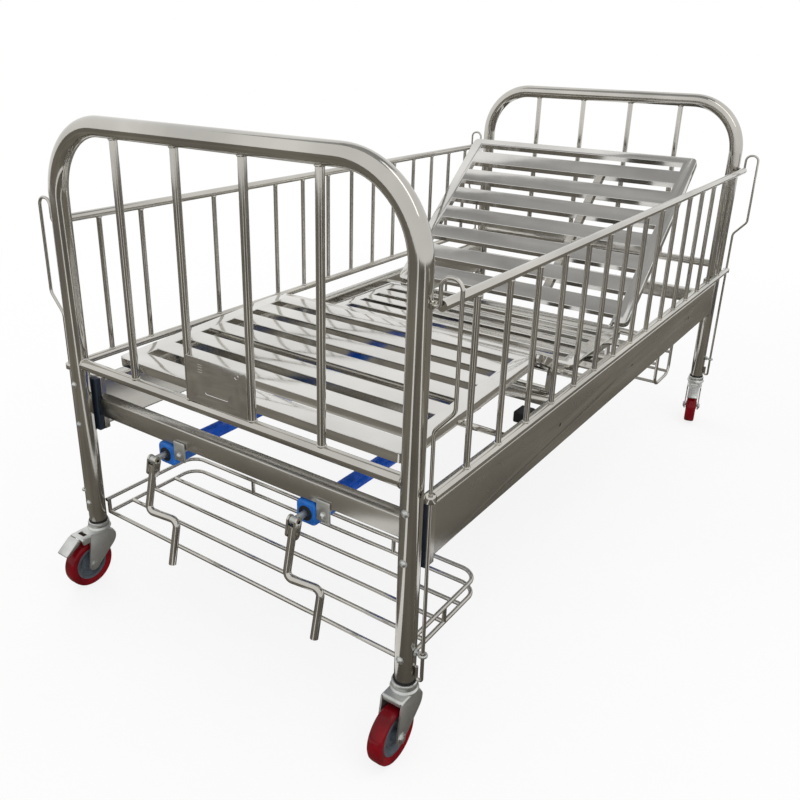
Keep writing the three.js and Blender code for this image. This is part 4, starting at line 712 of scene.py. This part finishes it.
class COT_OT_crank_drives(bpy.types.Operator):
    """Housings, brackets, screw tubes, push rods, shafts and folding handles"""

    bl_idname = "cot.crank_drives"
    bl_label = "Crank Drives"

    def execute(self, context):
        for side in SIDES:
            pin = pivot("handle_fold_" + side)
            axis_point = Vector((pin.x, BOARD_Y["foot"], pin.z))
            self.housing(side, axis_point)
            rounded_copy("crank_bracket_" + side, "zinc", width=0.001)
            self.screw_tube(side, axis_point)
            rounded_copy("push_rod_" + side, "zinc", width=0.0008)
            self.shaft(side, pin)
            self.handle(side, pin, context.scene.cot_sizes.handle)
        return {"FINISHED"}

    def housing(self, side, place):
        half, front, back = 0.0215, 0.015, 0.085
        corner_round, front_round, edge_round = 0.010, 0.006, 0.0015
        bm = bmesh.new()
        block(bm, place + Vector((-half, front, -half)), place + Vector((half, back, half)))
        along = [edge for edge in bm.edges if abs((edge.verts[0].co - edge.verts[1].co).normalized().y) > 0.9]
        round_edges(bm, along, corner_round, segments=8)
        front_y = place.y + front + 1e-5
        rim = [edge for edge in sharp_edges(bm, FOLD) if all(vert.co.y < front_y for vert in edge.verts)]
        round_edges(bm, rim, front_round, segments=6)
        soften(bm, edge_round, angle=60.0)
        finish_piece("housing_" + side, bm, "base", "housing", ("crank_housing_" + side,))
        bush = [(0.0068, 0.0150), (0.0075, 0.0135), (0.0128, 0.0135), (0.0136, 0.0142), (0.0136, 0.0170),
                (0.0068, 0.0170)]
        bm = bmesh.new()
        turned(bm, bush, place, Y_AXIS, X_AXIS, steps=40)
        finish_piece("housing_bush_" + side, bm, "base", "rubber")

    def screw_tube(self, side, place):
        bore, end_radius, radius, bevel = 0.0094, 0.0145, 0.0150, 0.0006
        low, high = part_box("screw_tube_" + side)
        start, end = low.y - place.y, high.y - place.y
        tube = [(bore, start), (end_radius, start), (radius, start + bevel), (radius, end - bevel),
                (end_radius, end), (bore, end)]
        bm = bmesh.new()
        turned(bm, tube, place, Y_AXIS, X_AXIS, steps=32)
        finish_piece("screw_tube_round_" + side, bm, "base", "screw_tube", ("screw_tube_" + side,))

    def shaft(self, side, pin):
        start, end, diameter = 0.004, 0.038, 0.012
        barrel = [(0.0034, -0.006), (0.0064, -0.006), (0.0070, -0.0054), (0.0070, 0.0054), (0.0064, 0.006),
                  (0.0034, 0.006)]
        bm = bmesh.new()
        straight_bar(bm, pin + Y_AXIS * start, pin + Y_AXIS * end, diameter)
        turned(bm, barrel, pin, X_AXIS, Y_AXIS, steps=32)
        finish_piece("crank_shaft_round_" + side, bm, "crank_" + side, "zinc", ("crank_shaft_" + side,))

    def handle(self, side, pin, diameter):
        """Forked knuckle and cranked rod, made upright round the origin and then leant over at the pin."""
        cheek_inner, cheek_outer, cheek_edge, pin_diameter = 0.0064, 0.0104, 0.0006, 0.006
        cheek_ends = (((0.0, 0.0), 0.008), ((0.0, -0.024), 0.007))
        web_low, web_high = (-0.0094, -0.006, -0.024), (0.0094, 0.006, -0.009)
        rod_top, throw_z, grip_z, rod_bend = -0.011, -0.100, -0.186, 0.013
        throw_x, throw_y = 0.065, 0.01146
        lean = math.radians(-13.0)
        bm = bmesh.new()
        for low_x, high_x in ((cheek_inner, cheek_outer), (-cheek_outer, -cheek_inner)):
            link_plate(bm, cheek_ends, low_x, high_x)
        soften(bm, cheek_edge, angle=50.0)
        straight_bar(bm, (-cheek_outer, 0, 0), (cheek_outer, 0, 0), pin_diameter, sides=16)
        block(bm, web_low, web_high)
        rod = [(0, 0, rod_top), (0, 0, throw_z), (throw_x, throw_y, throw_z), (throw_x, throw_y, grip_z)]
        bent_tube(bm, rod, diameter, rod_bend, sides=28)
        place = Matrix.Translation(pin) @ Matrix.Rotation(lean, 4, "X")
        bmesh.ops.transform(bm, matrix=place, verts=bm.verts)
        finish_piece("crank_handle_round_" + side, bm, "handle_" + side, "steel_z", ("crank_handle_" + side,))


class COT_OT_wire_goods(bpy.types.Operator):
    """Foot basket, head rack and calf arm"""

    bl_idname = "cot.wire_goods"
    bl_label = "Wire Goods"

    def execute(self, context):
        sizes = context.scene.cot_sizes
        self.basket(sizes.wire)
        self.rack(sizes.wire)
        self.calf_arm(sizes.bail)
        return {"FINISHED"}

    def basket(self, wire):
        side, back, low, high, bend = 0.372, 0.2578, 0.148, 0.179, 0.034
        bars = (0.0218, 0.0808, 0.1398, 0.1988)
        rim_front = 0.0154
        bm = bmesh.new()
        for front, z in ((bars[0], low), (rim_front, high)):
            outline = ((-side, front), (-side, back), (side, back), (side, front))
            bent_tube(bm, [from_foot(x, y, z) for x, y in outline], wire, bend, sides=16)
        for y in bars:
            straight_bar(bm, from_foot(-side, y, low), from_foot(side, y, low), wire, sides=16)
        posts = [(x, back) for x in (-side / 2, 0.0, side / 2)]
        posts += [(sign * side, y) for sign in (-1, 1) for y in (bars[0], bars[2])]
        for x, y in posts:
            straight_bar(bm, from_foot(x, y, low), from_foot(x, y, high), wire, sides=16)
        finish_piece("basket_wire", bm, "base", "steel_x", ("basket",))

    def rack(self, wire):
        side, near, far, top, low, bend = 0.3657, 1.236, 1.354, 0.390, 0.223, 0.026
        bar_z, corner_inset, corner_z = 0.285, 0.0076, 0.2306
        bars = ((near, bar_z), (far, bar_z), (near + corner_inset, corner_z), (far - corner_inset, corner_z))
        bm = bmesh.new()
        for x in (-side, side):
            outline = ((near, top), (near, low), (far, low), (far, top))
            bent_tube(bm, [from_foot(x, y, z) for y, z in outline], wire, bend, sides=16)
        for y, z in bars:
            straight_bar(bm, from_foot(-side, y, z), from_foot(side, y, z), wire, sides=16)
        finish_piece("rack_wire", bm, "base", "steel_x", ("head_rack",))

    def calf_arm(self, diameter):
        turn = math.radians(28.0)
        length, bend = 0.13424, 0.014
        hub_y, hub_z = 0.35497, 0.4145
        far_y, far_z = hub_y - length * math.cos(turn), hub_z + length * math.sin(turn)
        arm, end = 0.3525, 0.3697
        bm = bmesh.new()
        route = ((-end, hub_y, hub_z), (-arm, hub_y, hub_z), (-arm, far_y, far_z), (arm, far_y, far_z),
                 (arm, hub_y, hub_z), (end, hub_y, hub_z))
        bent_tube(bm, [from_foot(*point) for point in route], diameter, bend, sides=20, steps=8)
        finish_piece("calf_arm_round", bm, "calf_arm", "steel_x", ("calf_arm",))


class COT_OT_casters(bpy.types.Operator):
    """Forks, leg seals, wheels and brake pedals of the four casters"""

    bl_idname = "cot.casters"
    bl_label = "Casters"

    # The axle's place in a fork: behind the swivel and above the floor
    TRAIL, AXLE_Z = 0.035, 0.050

    def execute(self, context):
        radius = context.scene.cot_sizes.wheel / 2
        for corner in CORNERS:
            swivel = pivot("swivel_" + corner)
            roll_axis = Vector(JOINTS["roll_" + corner]["axis"])
            turn = Matrix.Rotation(math.atan2(roll_axis.y, roll_axis.x), 4, "Z")
            self.fork(corner, Matrix.Translation((swivel.x, swivel.y, 0.0)) @ turn)
            self.leg_seal(corner, Vector((swivel.x, swivel.y, LEG_FOOT_Z)))
            self.wheel(corner, radius, roll_axis.normalized())
            if corner in BRAKED:
                rounded_copy("brake_pedal_" + corner, "zinc", width=0.001)
        return {"FINISHED"}

    def fork(self, corner, place):
        """A formed fork with its race and axle, made round the swivel's axis and then turned into place."""
        bm = bmesh.new()
        outline = [((0.0, 0.0957), 0.024), ((-0.032, 0.1157), 0.004), ((-self.TRAIL, self.AXLE_Z), 0.012)]
        formed_channel(bm, outline, half=0.0205, sheet=0.0032, bend=0.004)
        if corner in BRAKED:
            arm = [((-0.015, 0.1145), 0.005), ((-0.0530, 0.1157), 0.004), ((-0.0520, 0.1085), 0.003),
                   ((-0.015, 0.1085), 0.003)]
            formed_channel(bm, arm, half=0.0200, sheet=0.0028, bend=0.003, window=0.007)
        else:
            lip_low, lip_high, lip_edge = (-0.0165, -0.0362, 0.1095), (0.0165, -0.0332, 0.1170), 0.001
            lip = block(bm, lip_low, lip_high)
            round_edges(bm, unique(edge for vert in lip for edge in vert.link_edges), lip_edge, segments=3)
        race = [(0.0, 0.1185), (0.0235, 0.1185), (0.0238, 0.1200), (0.0232, 0.1216), (0.0212, 0.1232),
                (0.0208, 0.1245), (0.0214, 0.1256), (0.0214, 0.1320), (0.0208, 0.1338), (0.0194, 0.1346),
                (0.0, 0.1346)]
        turned(bm, race, Vector((0, 0, 0)), Z_AXIS, X_AXIS, steps=56)
        self.axle(bm)
        bmesh.ops.transform(bm, matrix=place, verts=bm.verts)
        finish_piece("fork_" + corner, bm, "fork_" + corner, "zinc", ("caster_fork_" + corner,))

    def axle(self, bm):
        """The axle's pin with a washer and a nut on each side."""
        half, pin, washer, nut = 0.0245, 0.008, 0.019, 0.0155
        washer_in, washer_out, nut_in, nut_out = 0.0200, 0.0214, 0.0212, 0.0240
        centre = Vector((0.0, -self.TRAIL, self.AXLE_Z))
        straight_bar(bm, centre - X_AXIS * half, centre + X_AXIS * half, pin)
        for way in (-X_AXIS, X_AXIS):
            straight_bar(bm, centre + way * washer_in, centre + way * washer_out, washer, sides=32)
            hex_nut(bm, centre + way * nut_in, centre + way * nut_out, nut)

    def leg_seal(self, corner, place):
        seal = [(0.0176, -0.0002), (0.0186, -0.0002), (0.0190, 0.0006), (0.0190, 0.0026), (0.0186, 0.0034),
                (0.0176, 0.0034)]
        bm = bmesh.new()
        turned(bm, seal, place, Z_AXIS, X_AXIS, steps=48)
        finish_piece("leg_seal_" + corner, bm, "base", "rubber")

    def wheel(self, corner, radius, axis):
        centre = pivot("roll_" + corner)
        rim = radius - 0.015
        shoulder = [(rim, -0.011), (rim + 0.006, -0.0128), (radius - 0.006, -0.0140),
                    (radius - 0.0028, -0.0132), (radius - 0.0008, -0.0108), (radius, -0.006)]
        self.wheel_part("tyre_", corner, shoulder, centre, axis, "tyre", angle=50.0)
        face = [(0.0054, 0.0155), (0.0104, 0.0155), (0.0110, 0.0149), (0.0114, 0.0058), (0.0130, 0.0050),
                (0.0185, 0.0050), (0.0190, 0.0062), (0.0215, 0.0062), (0.0220, 0.0050), (0.0270, 0.0050),
                (0.0285, 0.0062), (0.0296, 0.0104), (0.0304, 0.0112), (0.0347, 0.0110)]
        self.wheel_part("hub_", corner, face, centre, axis, "hub")

    def wheel_part(self, prefix, corner, half_profile, centre, axis, finish, angle=40.0):
        """One turned part of a wheel; half of its profile is given, and the other half mirrors it."""
        profile = half_profile + [(radius, -offset) for radius, offset in reversed(half_profile)]
        bm = bmesh.new()
        turned(bm, profile, centre, axis, Z_AXIS, steps=72)
        finish_piece(prefix + corner, bm, "wheel_" + corner, finish, ("caster_" + prefix + corner,), angle)


class COT_OT_fasteners(bpy.types.Operator):
    """Dome-head bolts in the legs and brackets, and the chart plate's eyelet and strips"""

    bl_idname = "cot.fasteners"
    bl_label = "Fasteners"

    def execute(self, context):
        self.bolts(context.scene.cot_sizes.leg / 2)
        self.chart_eyelet()
        return {"FINISHED"}

    def bolts(self, leg_radius):
        leg_heights, sunk, bracket_rise = (0.445, 0.360, 0.182), 0.0006, 0.012
        leg_x = BOARD_HIGH.x - leg_radius
        bm = bmesh.new()
        for end, outward in (("foot", -Y_AXIS), ("head", Y_AXIS)):
            for sign in SIDES.values():
                for z in leg_heights:
                    on_axis = Vector((sign * leg_x, BOARD_Y[end], z))
                    dome_bolt(bm, on_axis + outward * (leg_radius - sunk), outward)
        for side in SIDES:
            low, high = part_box("crank_bracket_" + side)
            dome_bolt(bm, Vector(((low.x + high.x) / 2, low.y, low.z + bracket_rise)), -Y_AXIS)
        finish_piece("bolts", bm, "base", "zinc")

    def chart_eyelet(self):
        eyelet = [(0.0030, -0.0001), (0.0036, 0.0009), (0.0048, 0.0009), (0.0052, -0.0001)]
        eyelet_x, eyelet_z = 0.048, 0.568
        strip_left, strip_right, strip_low, strip_high, strip_pitch = -0.042, -0.031, 0.5545, 0.5560, 0.0045
        proud, sunk = 0.0006, 0.0004
        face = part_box("chart_plate")[0].y
        bm = bmesh.new()
        turned(bm, eyelet, Vector((eyelet_x, face, eyelet_z)), -Y_AXIS, X_AXIS, steps=32)
        for i in range(4):
            rise = strip_pitch * i
            low = (strip_left, face - proud, strip_low + rise)
            high = (strip_right, face + sunk, strip_high + rise)
            block(bm, low, high)
        finish_piece("chart_eyelet", bm, "base", "sheet")


def seen_or_mirrored(tree):
    """1 for what the camera sees, also in metal and through glass, and 0 for light on the cot."""
    path = tree.nodes.new("ShaderNodeLightPath")
    seen = path.outputs["Is Camera Ray"]
    for name in ("Is Glossy Ray", "Is Transmission Ray"):
        either = tree.nodes.new("ShaderNodeMath")
        either.operation = "MAXIMUM"
        tree.links.new(seen, either.inputs[0])
        tree.links.new(path.outputs[name], either.inputs[1])
        seen = either.outputs[0]
    return seen


class COT_OT_stage(bpy.types.Operator):
    """Pale floor, soft studio light, the cards that the metal mirrors, and the camera"""

    bl_idname = "cot.stage"
    bl_label = "Stage"

    def execute(self, context):
        light = context.scene.cot_light
        self.floor(context.scene.cot_finishes.floor)
        self.lamps(light)
        self.world(light.sky)
        if light.cards:
            self.cards()
        self.camera(light.lens)
        context.scene.view_settings.view_transform = "Standard"
        return {"FINISHED"}

    def floor(self, colour):
        """A floor that takes the cot's shadow, and fades to white away from it."""
        size = 12.0
        fade_range = {"From Min": 1.0, "From Max": 3.2, "To Min": 0.82, "To Max": 1.0}
        bench = NodeBench("pale_floor")
        clouds = bench.noise(bench.place(), scale=1.5, detail=3.0)
        bench.feed("Base Color", bench.ramp(clouds, *around(colour, 0.02)))
        bench.fixed(roughness=0.9, specular=0.0)
        distance = bench.add("ShaderNodeVectorMath", operation="LENGTH")
        bench.join(bench.place(), distance.inputs[0])
        fade = bench.add("ShaderNodeMapRange", interpolation_type="SMOOTHSTEP", **fade_range)
        bench.join(distance.outputs["Value"], fade.inputs["Value"])
        share = bench.add("ShaderNodeMath", operation="MULTIPLY")
        bench.join(seen_or_mirrored(bench.tree), share.inputs[0])
        bench.join(fade.outputs["Result"], share.inputs[1])
        white = bench.add("ShaderNodeEmission", Strength=1.0)
        blend = bench.add("ShaderNodeMixShader")
        for source, target in zip((share, bench.shader, white), blend.inputs):
            bench.join(source.outputs[0], target)
        bench.join(blend.outputs[0], bench.tree.nodes["Material Output"].inputs["Surface"])
        bm = bmesh.new()
        bmesh.ops.create_grid(bm, x_segments=1, y_segments=1, size=size)
        mesh = mesh_of("floor", bm)
        mesh.materials.append(bench.material)
        floor = new_object("floor", mesh)

    def lamps(self, light):
        """Two large soft lamps that light, and a slim one that only draws a thin line on the tubes."""
        aim = Vector((0, 0, 0.4))
        lamps = (
            ("key", light.key, (1.6, -1.2, 3.2), (3.6, 3.6)),
            ("fill", light.fill, (-2.6, 0.6, 2.2), (2.6, 2.6)),
            ("strip", light.strip, (0.9, -0.3, 3.0), (0.35, 4.0)),
        )
        for name, power, place, (width, length) in lamps:
            data = bpy.data.lights.new(name, "AREA")
            data.energy = power
            data.shape = "RECTANGLE"
            data.size, data.size_y = width, length
            lamp = new_object(name, data)
            lamp.visible_glossy = name == "strip"
            lamp.visible_diffuse = name != "strip"
            lamp.location = place
            lamp.rotation_euler = (aim - Vector(place)).to_track_quat("-Z", "Y").to_euler()

    def world(self, strength):
        """A white room that lights the cot at a lower strength than it is seen at."""
        world = bpy.data.worlds.new("studio")
        bpy.context.scene.world = world
        world.use_nodes = True
        tree = world.node_tree
        background = tree.nodes["Background"]
        background.inputs["Color"].default_value = (1, 1, 1, 1)
        level = tree.nodes.new("ShaderNodeMapRange")
        level.inputs["To Min"].default_value = strength
        level.inputs["To Max"].default_value = 1.0
        tree.links.new(seen_or_mirrored(tree), level.inputs["Value"])
        tree.links.new(level.outputs["Result"], background.inputs["Strength"])

    def cards(self):
        """Cards that only the metal sees: sectors of the floor round the cot, and a panel overhead."""
        # Start and end in degrees, and tone
        sectors = ((-75, -35, 0.13), (-27, 80, 0.20), (88, 100, 0.10), (108, 185, 0.20), (195, 276, 0.20))
        inner, outer, height = 0.3, 6.0, 0.004
        for i, (start, end, tone) in enumerate(sectors):
            bm = bmesh.new()
            turn = Matrix.Rotation(math.radians(start), 3, "Z")
            ends = [bm.verts.new(turn @ Vector((radius, 0.0, height))) for radius in (inner, outer)]
            edge = bm.edges.new(ends)
            bmesh.ops.spin(bm, geom=[*ends, edge], cent=(0, 0, 0), axis=Z_AXIS,
                           angle=math.radians(end - start), steps=12)
            self.card("card_" + str(i), bm, (tone, tone * 0.92, tone * 0.78))
        corners = ((-0.68, 1.3), (0.8, 1.3), (0.8, -0.8), (-2.3, -0.8))
        overhead = 3.2
        bm = bmesh.new()
        bmesh.ops.contextual_create(bm, geom=[bm.verts.new((x, y, overhead)) for x, y in corners])
        self.card("card_overhead", bm, (0.40, 0.40, 0.40), glowing=True)

    def card(self, name, bm, tone, glowing=False):
        """One card; a glowing one keeps its tone where no lamp reaches it."""
        bench = NodeBench("card_tone")
        cloudy = bench.ramp(bench.noise(bench.place(), scale=2.0), *around(tone, 0.2))
        if glowing:
            bench.feed("Emission Color", cloudy)
            bench.fixed(glow=1.0)
            bench.shader.inputs["Base Color"].default_value = (0, 0, 0, 1)
        else:
            bench.feed("Base Color", cloudy)
        bench.fixed(roughness=1.0)
        mesh = mesh_of(name, bm)
        mesh.materials.append(bench.material)
        card = new_object(name, mesh)
        card.visible_camera = False
        card.visible_diffuse = False
        card.visible_shadow = False

    def camera(self, lens):
        """The photograph's place, direction and framing."""
        place = from_foot(0.935, -0.879, 1.0764)
        yaw, pitch, roll = math.radians(35.33), math.radians(21.69), math.radians(1.109)
        right = Vector((math.cos(yaw), math.sin(yaw), 0.0))
        ahead = Vector((-math.sin(yaw) * math.cos(pitch), math.cos(yaw) * math.cos(pitch), -math.sin(pitch)))
        up = right.cross(ahead)
        rolled_right = right * math.cos(roll) + up * math.sin(roll)
        rolled_up = rolled_right.cross(ahead)
        turn = Matrix((rolled_right, rolled_up, -ahead)).transposed().to_4x4()
        data = bpy.data.cameras.new("camera")
        data.lens = lens
        data.shift_x, data.shift_y = 0.0335, -0.0404
        data.clip_end = 60.0
        camera = new_object("camera", data)
        camera.matrix_world = Matrix.Translation(place) @ turn
        bpy.context.scene.camera = camera


PIECES = (COT_OT_end_boards, COT_OT_base_frame, COT_OT_platform, COT_OT_guards, COT_OT_guide_rods,
          COT_OT_crank_drives, COT_OT_wire_goods, COT_OT_casters, COT_OT_fasteners, COT_OT_stage)


class COT_PT_panel(bpy.types.Panel):
    """Sizes, finishes and steps of the cot"""

    bl_idname = "COT_PT_panel"
    bl_label = "Hospital Cot"
    bl_space_type = "VIEW_3D"
    bl_region_type = "UI"
    bl_category = "Cot"

    def draw(self, context):
        for piece in PIECES:
            self.layout.operator(piece.bl_idname)
        for group in (context.scene.cot_sizes, context.scene.cot_finishes, context.scene.cot_light):
            column = self.layout.column()
            for name in group.__annotations__:
                column.prop(group, name)


CLASSES = (CotSizes, CotFinishes, CotLight, *PIECES, COT_PT_panel)


def register():
    for cls in CLASSES:
        bpy.utils.register_class(cls)
    bpy.types.Scene.cot_sizes = PointerProperty(type=CotSizes)
    bpy.types.Scene.cot_finishes = PointerProperty(type=CotFinishes)
    bpy.types.Scene.cot_light = PointerProperty(type=CotLight)


def unregister():
    del bpy.types.Scene.cot_light
    del bpy.types.Scene.cot_finishes
    del bpy.types.Scene.cot_sizes
    for cls in reversed(CLASSES):
        bpy.utils.unregister_class(cls)


def main():
    register()
    mix_finishes()
    bpy.ops.cot.end_boards()
    bpy.ops.cot.base_frame()
    bpy.ops.cot.platform()
    bpy.ops.cot.guards()
    bpy.ops.cot.guide_rods()
    bpy.ops.cot.crank_drives()
    bpy.ops.cot.wire_goods()
    bpy.ops.cot.casters()
    bpy.ops.cot.fasteners()
    bpy.ops.cot.stage()


if __name__ == "__main__":
    main()
